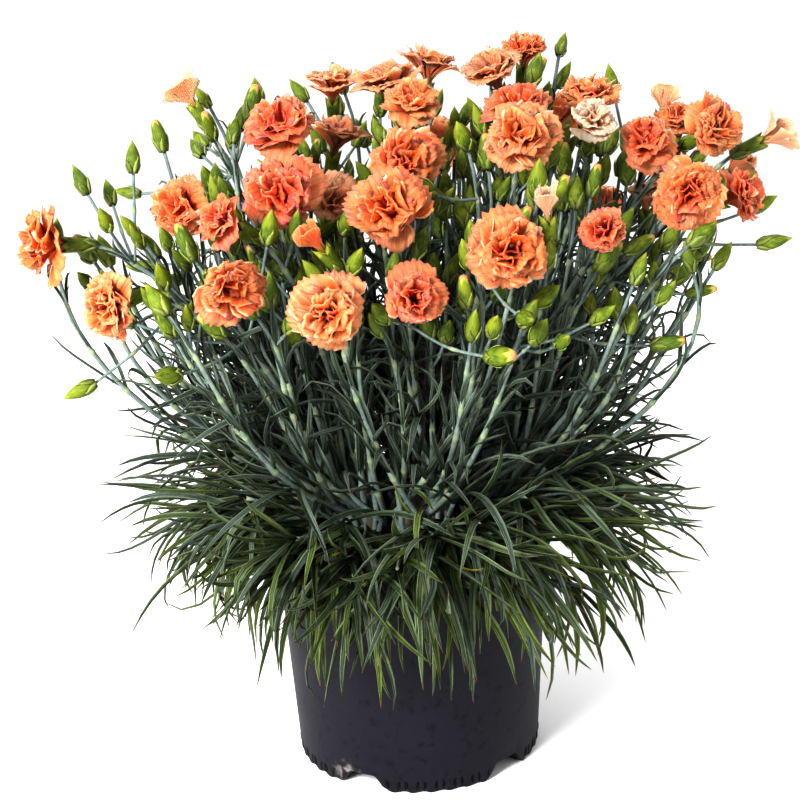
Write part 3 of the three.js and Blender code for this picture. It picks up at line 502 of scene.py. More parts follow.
class Rods:
    """Everything that has been placed, as round-ended rods, so that later pieces grow clear of it."""

    def __init__(self, room=8000):
        self.count = 0
        self.start = np.zeros((room, 3))
        self.end = np.zeros((room, 3))
        self.radius = np.zeros(room)
        self.owner = np.zeros(room, int)
        self.owners = {}

    def number(self, owner):
        """An owner's number: the next free one when its name is new."""
        return self.owners.setdefault(owner, len(self.owners) + 1)

    def add(self, rods):
        """Adds rods of (start, end, radius, owner)."""
        for start, end, radius, owner in rods:
            n = self.count
            self.start[n], self.end[n], self.radius[n] = start, end, radius
            self.owner[n] = self.number(owner)
            self.count += 1

    def clear(self, rods, ignored=()):
        """True if each rod keeps its room to every placed rod: the shortest distance between two
        segments p + s u and a + t v, with s and t clamped to their ends in turn."""
        n = self.count
        heard = np.ones(n, bool)
        for owner in ignored:
            heard &= self.owner[:n] != self.number(owner)
        a, b, radius = self.start[:n][heard], self.end[:n][heard], self.radius[:n][heard]
        v, half = b - a, 0.5 * np.linalg.norm(b - a, axis=1)
        for p, q, own, _ in rods:
            room = own + radius + CLEARANCE
            apart = np.linalg.norm((a + b) / 2 - (p + q) / 2, axis=1)
            near = apart <= half + 0.5 * np.linalg.norm(q - p) + room
            if not near.any():
                continue
            u, w, side = q - p, p - a[near], v[near]
            uu, vv, uv = u @ u, (side * side).sum(1), side @ u
            uw, vw = w @ u, (side * w).sum(1)
            spread = uu * vv - uv * uv
            s = np.where(spread > 1e-9, (uv * vw - vv * uw) / np.maximum(spread, 1e-9), 0).clip(0, 1)
            t = ((uv * s + vw) / np.maximum(vv, 1e-9)).clip(0, 1)
            s = ((uv * t - uw) / max(uu, 1e-9)).clip(0, 1)
            gaps = np.linalg.norm(w + s[:, None] * u - t[:, None] * side, axis=1)
            if (gaps <= room[near]).any():
                return False
        return True


placed = Rods()


def rods_along(path, radius, owner):
    """One rod for each stretch of a path."""
    return [(path[i], path[i + 1], radius, owner) for i in range(len(path) - 1)]


def clear_of_pot(path, radius):
    """Clear of the pot's wall and lip, and of the soil, at four points of every stretch."""
    at = np.concatenate([path[:-1] + (path[1:] - path[:-1]) * t for t in (0.25, 0.5, 0.75, 1)])
    out = np.hypot(at[:, 0], at[:, 1])
    floor = np.where(out > RIM_RADIUS - 8 - radius, POT_HEIGHT, SOIL_TOP) + radius + 1
    return bool(np.where(out > LIP_RADIUS + radius + 1, at[:, 2] > 12, at[:, 2] > floor).all())


class Site:
    """Where pieces can grow: the middles and outward normals of some small faces, which pieces use up,
    and the headings of what grows there already."""

    def __init__(self, centres, normals, at=None, along=None, on_heart=False):
        self.centres, self.normals = np.array(centres), np.array(normals)
        self.free = np.ones(len(centres), bool)
        self.at, self.along, self.on_heart, self.headings = at, along, on_heart, []

    def towards(self, heading, among=None):
        """The first of the free faces that look most nearly along a heading."""
        looks = np.where(self.free if among is None else self.free & among, self.normals @ heading, -9)
        return int(np.argmax(looks >= looks.max() - SAME_LOOK))


def joint_site(at, along, frame):
    """The three flat sides of a swollen joint, each with room for two pieces."""
    _, side, across = frame
    turns = [math.pi / 3, math.pi, 5 * math.pi / 3]
    normals = [side * math.cos(turn) + across * math.sin(turn) for turn in turns for _ in range(2)]
    return Site([at] * 6, normals, at=at, along=along)


def heart_faces(crown):
    """The facets of a crown's six-sided heart, band by band: middles, normals and band numbers."""
    axis = [np.array([crown[0], crown[1], z]) for z in CROWN_HEIGHTS]
    frames = frames_along(axis, CROWN_SIDE)
    turns = [math.pi / 3 * n for n in range(7)]
    rings = [[at + r * (math.cos(t) * side + math.sin(t) * across) for t in turns]
             for at, r, (_, side, across) in zip(axis, CROWN_RADII, frames)]
    centres, normals, bands = [], [], []
    for band in range(2, 5):
        low, high = rings[band], rings[band + 1]
        for n in range(6):
            facets = [(low[n], low[n + 1], high[n])]
            if band < 4:
                facets.append((low[n + 1], high[n + 1], high[n]))
            for a, b, c in facets:
                centres.append((a + b + c) / 3)
                normals.append(unit(np.cross(b - a, c - a)))
                bands.append(band)
    return Site(centres, normals, on_heart=True), np.array(bands)


def bloom_height(width, openness):
    """From the tube's mouth to the top of the petals: taller if wide or not yet open."""
    return 11 + 0.31 * width + 8 * (1 - openness)


class Head:
    """A flower head: where its green tube starts and ends, and how the flower on it looks."""

    def __init__(self, n, row):
        *middle, fx, fy, fz, self.width, self.openness, self.shade = row
        self.n = n
        self.name = f"bloom{n}"
        self.facing = unit(np.array([fx, fy, fz], float))
        self.height = bloom_height(self.width, self.openness)
        self.mouth = np.array(middle, float) - 0.6 * self.height * self.facing
        self.root = self.mouth - TUBE_LENGTH * self.facing


heads = [Head(n, row) for n, row in enumerate(HEADS)]
for head in heads:
    side = UP if abs(head.facing[2]) < 0.9 else np.array([1.0, 0, 0])
    _, side, across = frames_along([head.mouth, head.mouth + head.facing], side)[0]
    hub = head.mouth + head.facing * 0.55 * head.height
    placed.add(rods_along([head.mouth + head.facing * 5, hub], 0.3 * head.width, head.name))
    for k in range(BLOOM_SPOKES):
        turn = 2 * math.pi * k / BLOOM_SPOKES
        edge = hub + (0.5 * head.width - 4) * (side * math.cos(turn) + across * math.sin(turn))
        placed.add(rods_along([hub, edge], SPOKE_RADIUS, head.name))


class Shoot:
    """One rooted shoot: its crown's place on the ground plan, its free faces and what grows on it."""

    def __init__(self, n, crown):
        self.n, self.crown = n, crown
        self.owner, self.heart = f"shoot{n}", f"heart{n}"
        self.site, self.bands = heart_faces(crown)
        self.stems, self.side_shoots, self.buds, self.leaves = [], [], [], []


crowns = [np.zeros(3)]
for n in range(RING_SHOOTS):
    angle = RING_ANGLE + 2 * math.pi * n / RING_SHOOTS
    crowns.append(RING_RADIUS * np.array([math.cos(angle), math.sin(angle), 0]))
shoots = [Shoot(n, crown) for n, crown in enumerate(crowns)]
for shoot in shoots:
    axis = [shoot.crown + UP * CROWN_HEIGHTS[k] for k in (2, 4)]
    placed.add(rods_along(axis, CROWN_RADII[2], shoot.heart))


def nearest_shoot(at, among):
    """A place belongs to the shoot whose crown is nearest to it when it is drawn in to the soil."""
    on_soil = np.array([at[0], at[1], 0]) * DRAWN_TO_SOIL
    return min(among, key=lambda shoot: np.linalg.norm(shoot.crown - on_soil))


def bezier(points, t):
    """The cubic curve (1-t)^3 a + 3 (1-t)^2 t b + 3 (1-t) t^2 c + t^3 d at each t."""
    a, b, c, d = points
    t = np.asarray(t, float)[:, None]
    return (1 - t) ** 3 * a + 3 * (1 - t) ** 2 * t * b + 3 * (1 - t) * t ** 2 * c + t ** 3 * d


# Flowering stems rise steeply, lean out to their flower and turn into its green tube.
for head in heads:
    shoot = nearest_shoot(head.mouth, [shoot for shoot in shoots if len(shoot.stems) < STEMS_EACH])
    outward = head.root - shoot.crown
    outward[2] = 170
    face = shoot.site.towards(unit(outward), shoot.bands >= 3)
    start = shoot.site.centres[face] + INSET_LIFT * shoot.site.normals[face]
    to_head = unit(head.root - start)
    span = np.linalg.norm(head.root - start)
    draw.next_piece()
    for attempt in range(STEM_TRIES):
        sway = np.array([draw(-1, 1), draw(-1, 1), draw(-0.5, 0.5)]) * min(attempt * 0.7, 60)
        start_pull = start + (to_head * 0.3 + UP * 0.1) * span + sway
        end_pull = head.root - (head.facing * 0.16 + to_head * 0.12) * span + sway
        curve = (start, start_pull, end_pull, head.root)
        path = bezier(curve, STEM_STATIONS)
        rods = rods_along(path, STEM_RADIUS + 0.2, shoot.owner)
        tube = rods_along([head.root, head.mouth], TUBE_RADIUS, shoot.owner)
        if not placed.clear(rods[:1], [shoot.heart]) or not placed.clear(rods[1:]):
            continue
        if not placed.clear(tube, [head.name]):
            continue
        placed.add(rods + tube)
        shoot.site.free[face] = False
        frames = frames_along([*path, head.mouth], CROWN_SIDE)
        joints = [joint_site(path[k], frames[k][0], frames[k]) for k in (1, 2, 3)]
        shoot.stems.append((head, curve, joints))
        break


def grow_clear(shoot, site, draw_piece, tries, face=None):
    """Draws a piece again until it grows clear of everything, then adds it to its shoot at one of a
    site's faces. At a joint its first stretch passes close to its stem, and it leaves at a wide angle
    to what grows there already. On a heart only the heart itself may be near its root."""
    draw.next_piece()
    among = None if face is None else np.arange(len(site.free)) == face
    if not (site.free if among is None else site.free & among).any():
        return None
    headings = [] if site.on_heart else site.headings
    for attempt in range(tries):
        path, rods, shape = draw_piece(attempt)
        heading = unit(path[1] - path[0])
        chosen = site.towards(heading, among)
        if site.normals[chosen] @ heading < LEAST_FACING:
            continue
        first, rest = rods[0], rods[1:]
        lead = 0 if site.on_heart else 0.3
        beyond_root = (first[0] + (first[1] - first[0]) * lead, *first[1:])
        if any(math.acos(min(1, other @ heading)) < LEAST_SPREAD for other in headings):
            continue
        if not clear_of_pot(path, 2) or not placed.clear([first], [shoot.owner, shoot.heart]):
            continue
        near_root = [shoot.heart] if site.on_heart else []
        if not placed.clear([beyond_root], near_root) or not placed.clear(rest):
            continue
        placed.add(rods)
        site.free[chosen] = False
        headings.append(heading)
        return shape
    return None


def bud_piece(shoot, joint, tip):
    """A bud on its stalk, from a joint of a stem to the bud's tip."""
    to_tip = tip - joint
    along = unit(unit(to_tip) + 0.25 * UP)
    foot = tip - BUD_LENGTH * along
    sag = joint + 0.5 * (foot - joint) - UP * 0.04 * np.linalg.norm(to_tip)
    stalk = [joint, sag, foot] if np.linalg.norm(to_tip) > 50 else [joint, foot]
    path = np.array([*stalk, tip])
    rods = rods_along(stalk, STALK_RADIUS + 0.2, shoot.owner)
    return path, rods + rods_along([foot, tip], BUD_RADIUS, shoot.owner), path


for x, y, z in BUD_TIPS:
    tip = np.array([x, y, z], float)
    best = None
    for shoot in shoots:
        for _, _, joints in shoot.stems:
            for joint in joints[1:]:
                to_tip = tip - joint.at
                cost = np.linalg.norm(to_tip) * (2 - joint.along @ unit(to_tip))
                if np.linalg.norm(to_tip) > 36 and (best is None or cost < best[2]):
                    best = (shoot, joint, cost)
    shoot, joint, _ = best

    def branch_bud(attempt):
        moved = tip + np.array([draw(-1, 1), draw(-1, 1), draw(-1, 1)]) * attempt
        return bud_piece(shoot, joint.at, moved)

    grown = grow_clear(shoot, joint, branch_bud, tries=25)
    if grown is not None:
        shoot.buds.append(grown)

# One more bud leaves the top joint of every flowering stem, and some have another lower down.
for shoot in shoots:
    for _, _, joints in shoot.stems:
        for joint, reach, tries in ((joints[2], 48, 14), (joints[1], 84, 2)):
            _, side, across = frames_along([joint.at, joint.at + joint.along], CROWN_SIDE)[0]

            def top_bud(_):
                turn = draw(0, 2 * math.pi)
                spread = draw(0.35, 0.85)
                heading = unit(joint.along + spread * (math.cos(turn) * side + math.sin(turn) * across))
                return bud_piece(shoot, joint.at, joint.at + heading * reach * draw(0.85, 1.2))

            grown = grow_clear(shoot, joint, top_bud, tries)
            if grown is not None:
                shoot.buds.append(grown)


def leaf_path(root, heading, rise, length, droop, curl, steps):
    """A leaf leaves its root at one heading and rise, then droops and curls evenly to its tip."""
    s = (np.arange(steps) + 0.5) / steps
    elevation, azimuth = rise - droop * s, heading + curl * s
    level = np.cos(elevation)
    step = np.stack([level * np.cos(azimuth), level * np.sin(azimuth), np.sin(elevation)], 1)
    return np.concatenate([[root], root + np.cumsum(step * length / steps, 0)])


def leaf_piece(shoot, width, *shape):
    """A leaf's path and rods, and what its finer surface is drawn from."""
    path = leaf_path(*shape)
    return path, rods_along(path, 0.5 * width, shoot.owner), (*shape[:6], width)


def add_side_shoot(shoot, heading, rise):
    """Short leafy side shoots spread low round the clump and carry the long arching leaves."""
    outward = np.array([math.cos(heading), math.sin(heading), 0.1])
    face = shoot.site.towards(outward, shoot.bands == 2)
    start = shoot.site.centres[face] + INSET_LIFT * shoot.site.normals[face]

    def twig(_):
        azimuth, climb = heading + draw(-0.2, 0.2), rise + draw(-0.1, 0.2)
        path = leaf_path(start, azimuth, climb, draw(48, 64), -0.2, 0, 2)
        return path, rods_along(path, STEM_RADIUS, shoot.owner), path

    path = grow_clear(shoot, shoot.site, twig, tries=12, face=face)
    if path is None:
        # The leaves that it would have carried still count, so that the next piece draws as before.
        draw.piece += sum(SIDE_LEAVES)
        return
    shoot.side_shoots.append(path)
    frames = frames_along(path, CROWN_SIDE)
    for k, count in zip((1, 2), SIDE_LEAVES):
        site = joint_site(path[k], frames[k][0], frames[k])
        if k == 2:
            site.centres = np.concatenate([site.centres, [path[2]]])
            site.normals = np.concatenate([site.normals, [frames[k][0]]])
            site.free = np.ones(7, bool)
        for n in range(count):

            def side_leaf(_):
                side = heading + (1 if n % 2 == 0 else -1) * draw(0.15, 1)
                tilt = rise + draw(-0.5, 0.4)
                shape = (site.at, side, tilt, draw(80, 112), draw(0.6, 2), draw(-0.5, 0.5), 3)
                return leaf_piece(shoot, LEAF_WIDTH * draw(0.85, 1.1), *shape)

            grown = grow_clear(shoot, site, side_leaf, tries=30)
            if grown is not None:
                shoot.leaves.append(grown)


for shoot in shoots[1:]:
    outward = math.atan2(shoot.crown[1], shoot.crown[0])
    for turn, rise in ((-0.45, 0.15), (0, 0.6), (0.45, 0.35)):
        add_side_shoot(shoot, outward + turn, rise)

# Pairs of leaves at the two lower joints of each flowering stem.
for shoot in shoots:
    for _, _, joints in shoot.stems:
        for joint, length, steps in ((joints[0], 88, 3), (joints[1], 52, 2)):
            _, side, across = frames_along([joint.at, joint.at + joint.along], CROWN_SIDE)[0]
            draw.next_piece()
            turn = draw(0, math.pi)
            for sign in (1, -1):

                def stem_leaf(_):
                    wander = turn + draw(-0.7, 0.7)
                    sideways = math.cos(wander) * side + math.sin(wander) * across
                    heading = unit(joint.along + draw(0.7, 1.5) * sign * sideways)
                    droop, curl = draw(0.1, 1.1), draw(-0.5, 0.5)
                    azimuth, rise = math.atan2(heading[1], heading[0]), math.asin(heading[2])
                    width = LEAF_WIDTH * (0.95 if steps == 3 else 0.8)
                    reach = length * draw(0.8, 1.15)
                    return leaf_piece(shoot, width, joint.at, azimuth, rise, reach, droop, curl, steps)

                grown = grow_clear(shoot, joint, stem_leaf, tries=14)
                if grown is not None:
                    shoot.leaves.append(grown)

# Leaves straight from the hearts: low ones arch over the pot's lip and hang, high ones stand up.
for shoot in shoots:
    in_middle = shoot.n == 0
    lean = shoot.crown * (0 if in_middle else HEART_LEAN / RING_RADIUS)
    low = np.flatnonzero((shoot.bands == 2) & shoot.site.free)
    high = np.flatnonzero((shoot.bands == 3) & shoot.site.free)[:HIGH_LEAVES]
    for face in (*low, *high):
        root = shoot.site.centres[face] + INSET_LIFT * shoot.site.normals[face]
        outward = shoot.site.normals[face] + lean
        azimuth = math.atan2(outward[1], outward[0])
        level = (root[2] - CROWN_HEIGHTS[2]) / (CROWN_HEIGHTS[5] - CROWN_HEIGHTS[2])

        def heart_leaf(attempt):
            rise = (0.9 if in_middle else 0.15) + 1.1 * level + 0.015 * attempt + draw(-0.1, 0.2)
            droop = draw(0, 0.8) if in_middle else draw(1.4, 2.2) * (1 - 0.5 * level)
            shape = (root, azimuth + draw(-0.6, 0.6), rise, draw(95, 126), droop, draw(-0.4, 0.4), 3)
            return leaf_piece(shoot, LEAF_WIDTH * draw(0.9, 1.1), *shape)

        grown = grow_clear(shoot, shoot.site, heart_leaf, tries=40, face=face)
        if grown is not None:
            shoot.leaves.append(grown)

# ---------------------------------------------------------------------------------------------------
# Stems and stalks. Wiry round stems, waxy blue-grey, swollen and pale at every joint. They rise from
# the crowded bases of old shoots at the soil; every bud has its own thin stalk from a joint.
# ---------------------------------------------------------------------------------------------------

STEM_SIDES = 8
STALK_SIDES = 6
STALK_RINGS = 13
JOINT_REACH = 2.6
JOINT_CLOSE = 0.011
OLD_JOINTS = np.array([0.13, 0.24, 0.35, 0.475, 0.6, 0.72, 0.84, 0.93])
YOUNG_JOINTS = np.array([0.2, 0.36, 0.52, 0.67, 0.83])
YOUNG_EACH = 20
YOUNG_TRIES = 120
YOUNG_DRAWN_IN = (0.91, 0.93, 1)
YOUNG_BELOW = 14
YOUNG_SCATTER = (42, 46, 38)
HEART_MIDDLE = 190
SIDE_BUD_SHARE = 0.34
SIDE_BUD_TRIES = 8
LEAST_BUD_HEIGHT = 338
FAN_SLOPE = 0.61
BACKWARDS = np.array([0.0, 0.96, -0.28])
HIDDEN_DEPTH = 75
rng = np.random.default_rng(11)


def unit_rows(v):
    """The directions of rows of vectors."""
    return v / np.linalg.norm(v, axis=-1, keepdims=True)


def frames_of(paths, reference=(1.0, 0.25, 0.1)):
    """For smooth paths (copies, rings, 3): the direction along each, and two directions across it."""
    along = unit_rows(np.gradient(paths, axis=1))
    side = unit_rows(np.cross(along, np.asarray(reference)))
    return along, side, np.cross(along, side)


def sweep(paths, side, across, x, y):
    """Sections carried along paths: path + x side + y across, as (copies, rings, around, 3)."""
    return paths[:, :, None] + x[..., None] * side[:, :, None] + y[..., None] * across[:, :, None]


def capped(rings, around, pointed=False):
    """Faces of a tube: its walls, a cap on its first ring, and a cap or a single end point."""
    first = np.arange(around)[::-1][None]
    last = (rings - 1) * around + np.arange(around)
    if not pointed:
        return [ring_faces(rings, around), first, last[None]]
    fan = np.stack([last, np.roll(last, -1), np.full(around, rings * around)], 1)
    return [ring_faces(rings, around), first, fan]


def with_points(sections, ends):
    """Puts one end point after the rings of every copy: (copies, rings * around + 1, 3)."""
    return np.concatenate([sections.reshape(len(sections), -1, 3), ends[:, None]], 1)


def on_points(on_rings, on_end, count):
    """The numbers of every copy's points: those on its rings, then the one on its end point."""
    return np.tile(np.append(on_rings, on_end), (count, 1))


class Gathering:
    """Collects many small closed surfaces, with their attributes, into one piece."""

    def __init__(self):
        self.points, self.blocks, self.values, self.count = [], {}, {}, 0

    def put(self, points, blocks, **values):
        """points (copies, points, 3) with the faces of one copy; a value per copy or per point."""
        points = points.reshape(len(points), -1, 3)
        copies, each = points.shape[:2]
        starts = self.count + each * np.arange(copies)[:, None, None]
        for block in blocks:
            corners = block.shape[1]
            self.blocks.setdefault(corners, []).append((block[None] + starts).reshape(-1, corners))
        self.points.append(points.reshape(-1, 3))
        for label, value in values.items():
            value = np.asarray(value, float)
            value = value.reshape(copies, -1) if value.ndim else value
            self.values.setdefault(label, []).append(np.broadcast_to(value, (copies, each)).ravel())
        self.count += copies * each

    def piece(self, name, finish, slot, replaces, creased_by=None):
        """Makes one piece of all that was put in."""
        values = {label: np.concatenate(parts) for label, parts in self.values.items()}
        faces = [np.concatenate(group) for group in self.blocks.values()]
        points = np.concatenate(self.points)
        add_piece(name, points, faces, finish, slot, replaces, creased_by, **values)


def through(points, count):
    """A smooth path of `count` rings through a few points, with the same points at its ends."""
    points = np.asarray(points, float)
    spans = np.concatenate([[0], np.cumsum(np.linalg.norm(np.diff(points, axis=0), axis=1))])
    slopes = np.gradient(points, spans, axis=0)
    at = np.linspace(0, spans[-1], count)
    k = np.clip(np.searchsorted(spans, at, "right") - 1, 0, len(points) - 2)
    width = (spans[k + 1] - spans[k])[:, None]
    t = (at - spans[k])[:, None] / width
    ends = (2 * t ** 3 - 3 * t ** 2 + 1) * points[k] + (3 * t ** 2 - 2 * t ** 3) * points[k + 1]
    return ends + width * ((t ** 3 - 2 * t ** 2 + t) * slopes[k] + (t ** 3 - t ** 2) * slopes[k + 1])


def put_tubes(gathered, paths, radius, sides, joint, tone):
    """Round tubes along paths: radius times (cos a, sin a) across the path at each ring."""
    _, side, across = frames_of(paths)
    turn = 2 * math.pi * np.arange(sides) / sides
    skin = sweep(paths, side, across, radius[..., None] * np.cos(turn), radius[..., None] * np.sin(turn))
    gathered.put(skin, capped(paths.shape[1], sides), joint=np.repeat(joint, sides, 1), tone=tone)


def down_to_soil(shoot, rising):
    """Eight rings that lead a stem's path down through the crown to the soil."""
    foot = shoot.crown + np.append(0.3 * (rising[0] - shoot.crown)[:2], SOIL_TOP - 4)
    return np.concatenate([foot + (rising[0] - foot) * np.linspace(0, 1, 9)[:-1, None] ** 0.9, rising])


def jointed(shoot, curve, places):
    """The path of a stem from the soil, with three rings close together at every joint, then where its
    joints lie, as (place, point, direction) of each, and how swollen each ring is."""
    middles = (np.append(0, places) + np.append(places, 1)) / 2
    close = np.concatenate([places - JOINT_CLOSE, places, places + JOINT_CLOSE])
    path = down_to_soil(shoot, bezier(curve, np.sort(np.concatenate([[0], middles, close, [1]]))))
    at = bezier(curve, places)
    gap = np.linalg.norm(path[:, None] - at[None], axis=2)
    ahead = unit_rows(bezier(curve, places + 0.01) - at)
    return path, list(zip(places, at, ahead)), np.exp(-((gap / JOINT_REACH) ** 2)).max(1)


def stem_skin():
    """Blue-grey wax over green, rubbed in streaks along the stem; joints pale yellow-green."""
    f = Finish("waxy stem")
    joint, tone = f.attribute("joint"), f.attribute("tone")
    streak = f.noise(900, 3, (1, 1, 0.12))
    wax = f.noise(220, 3)
    base = streak.between(0.3, 0.7).mix((0.078, 0.108, 0.100), (0.180, 0.226, 0.220))
    base = (tone * 0.3).mix(base, (0.085, 0.130, 0.080))
    base = (wax.between(0.45, 0.7) * 0.4).mix(base, (0.250, 0.298, 0.290))
    base = (joint ** 1.5 * 0.75).mix(base, (0.270, 0.315, 0.150))
    return f.done(base, 0.5 + 0.2 * wax, streak, 0.00012, Specular_IOR_Level=0.22)


stems_and_hearts = [shoot.owner for shoot in shoots] + [shoot.heart for shoot in shoots]
head_shares = np.array([45 + abs(head.mouth[0]) for head in heads])
head_shares /= head_shares.sum()


def open_place(bud):
    """True where a bud touches nothing, hides no flower from the front, and is neither low down nor
    outside the fan of the clump."""
    (foot, tip, radius, owner), = bud
    if tip[2] < LEAST_BUD_HEIGHT or math.hypot(tip[0], tip[1]) > FAN_SLOPE * tip[2]:
        return False
    behind = [(foot, foot + HIDDEN_DEPTH * BACKWARDS, radius, owner)]
    return placed.clear(bud) and placed.clear(behind, stems_and_hearts)


def young_stem(shoot):
    """Draws a place for one more bud near the flowers, with a stem of its own that passes no flower.
    It leaves the crown outwards and arrives at the bud steeply."""
    for _ in range(YOUNG_TRIES):
        near = heads[rng.choice(len(heads), p=head_shares)]
        tip = near.mouth * YOUNG_DRAWN_IN - YOUNG_BELOW * UP + rng.uniform(-1, 1, 3) * YOUNG_SCATTER
        if nearest_shoot(tip, shoots) is not shoot:
            continue
        away = unit(tip - shoot.crown - UP * HEART_MIDDLE)
        around = unit(rng.normal(0, 1, 3) * (1, 1, 0) + away * (1, 1, 0)) * rng.uniform(6, 27)
        start = shoot.crown + UP * rng.uniform(180, 200) + around
        along = unit(away * 0.7 + 0.6 * UP + rng.uniform(-0.6, 0.6, 3))
        foot = tip - 0.95 * BUD_LENGTH * along
        leave = (foot - start) * (0.6, 0.6, 0.24) + rng.uniform(-9, 9, 3) * (1, 1, 0.3)
        arrive = 0.28 * np.linalg.norm(foot - start) * along + rng.uniform(-9, 9, 3) * (1, 1, 0.3)
        curve = (start, start + leave, foot - arrive, foot)
        stem = rods_along(bezier(curve, np.linspace(0, 1, 7)), 1.4, shoot.owner)
        bud = rods_along([foot + 3 * along, tip], 0.85 * BUD_RADIUS, shoot.owner)
        if open_place(bud) and placed.clear(stem, stems_and_hearts):
            placed.add(stem + bud)
            return curve, np.array([foot, tip])
    return None


def side_bud(shoot, curve, place):
    """Draws a bud on a short stalk from a place on a young stem, and adds it where there is room."""
    at, ahead = bezier(curve, [place, place + 0.01])
    for _ in range(SIDE_BUD_TRIES):
        heading = unit(unit(ahead - at) + rng.uniform(-0.95, 0.95, 3))
        path, rods, _ = bud_piece(shoot, at, at + heading * rng.uniform(38, 64))
        if open_place(rods[-1:]) and placed.clear(rods[:-1], [shoot.owner, shoot.heart]):
            placed.add(rods)
            shoot.buds.append(path)
            return


stem_green = stem_skin()
stem_sets = [Gathering() for _ in shoots]
stem_joints = [[] for _ in shoots]
for shoot in shoots:
    shoot.young = [grown for grown in (young_stem(shoot) for _ in range(YOUNG_EACH)) if grown]
for shoot in shoots:
    for curve, _ in shoot.young:
        for place in YOUNG_JOINTS[-2:][rng.uniform(0, 1, 2) < SIDE_BUD_SHARE]:
            side_bud(shoot, curve, place)
for shoot, gathered in zip(shoots, stem_sets):
    old = [(curve, OLD_JOINTS) for _, curve, _ in shoot.stems]
    new = [(curve, YOUNG_JOINTS) for curve, _ in shoot.young]
    for stems, thickness in ((old, 1.3 * STEM_RADIUS), (new, 1.18 * STEM_RADIUS)):
        paths, swells = [], []
        for curve, places in stems:
            shifted = places + rng.uniform(-0.02, 0.02, len(places))
            path, joints, swell = jointed(shoot, curve, shifted)
            paths.append(path)
            swells.append(swell)
            stem_joints[shoot.n] += joints
        paths, swells = np.array(paths), np.array(swells)
        taper = np.linspace(1.3, 0.70, paths.shape[1])
        radius = thickness * taper * (0.88 + 0.42 * swells)
        put_tubes(gathered, paths, radius, STEM_SIDES, swells, rng.uniform(0, 1, len(paths)))
    stalks = [bud[:-1] for bud in shoot.buds] + shoot.side_shoots
    stalks = np.array([through(path, STALK_RINGS) for path in stalks])
    of_bud = np.arange(len(stalks)) < len(shoot.buds)
    swell = np.zeros((len(stalks), STALK_RINGS))
    swell[:, 0] = 1
    swell[of_bud, 7] = 0.9
    thick = np.where(of_bud, 1.0, 1.45)[:, None] * (1 + 0.5 * swell)
    put_tubes(gathered, stalks, thick, STALK_SIDES, swell, rng.uniform(0, 1, len(stalks)))

# ---------------------------------------------------------------------------------------------------
# Leaves. Narrow channelled blades in opposite pairs, blue-grey with wax where they see the light and
# grass green below, with pale parallel veins and dried orange-brown tips.
# ---------------------------------------------------------------------------------------------------

LEAF_RINGS = 10
LEAF_THICKNESS = 0.7
LEAF_SECTION = np.array([1.0, 0.0, -1.0, 0.0])
HOOKED_SHARE = 0.16
PAIR_TURN = 1.9
JOINT_LEAF_RINGS = 7
TUFTS_EACH = 10
TUFT_SPREAD = 0.65
TUFT_JOINTS = 5
TWIG_RINGS = 6
SKIRT_EACH = 13
SKIRT_SPREAD = 0.55


def leaf_curves(root, heading, rise, length, droop, curl, hook, sway, rings):
    """Leaf paths from columns of numbers. At s the azimuth is heading + curl s + sway sin(2 pi s), the
    elevation is rise - droop s + hook s^4, and the path adds the directions up."""
    s = np.linspace(0, 1, 2 * rings - 1)
    columns = (heading, rise, length, droop, curl, hook, sway)
    heading, rise, length, droop, curl, hook, sway = (np.asarray(c, float)[:, None] for c in columns)
    elevation = rise - droop * s + hook * s ** 4
    azimuth = heading + curl * s + sway * np.sin(2 * math.pi * s)
    level = np.cos(elevation)
    along = np.stack([level * np.cos(azimuth), level * np.sin(azimuth), np.sin(elevation)], -1)
    steps = (along[:, 1:] + along[:, :-1]) / 2 * (length / (2 * rings - 2))[..., None]
    path = np.concatenate([np.zeros((len(steps), 1, 3)), np.cumsum(steps, 1)], 1)
    path = path + np.asarray(root)[:, None]
    across = np.stack([-np.sin(azimuth), np.cos(azimuth), np.zeros_like(azimuth)], -1)
    return path[:, ::2], across[:, ::2]


def off_the_pot(paths):
    """Leaf paths moved clear of the pot: up over the soil and the lip, and out from the wall."""
    out = np.linalg.norm(paths[..., :2], axis=-1)
    inside = out < LIP_RADIUS + 0.5
    floor = np.where(out > RIM_RADIUS - 12, POT_HEIGHT + 2.5, SOIL_TOP + 2)
    z = np.where(inside, np.maximum(paths[..., 2], floor), paths[..., 2])
    low = (z < POT_HEIGHT + 2.5) & ~inside
    push = np.where(low, np.maximum(out, LIP_RADIUS + 2.2) / np.maximum(out, 1), 1)
    return np.stack([paths[..., 0] * push, paths[..., 1] * push, z], -1)


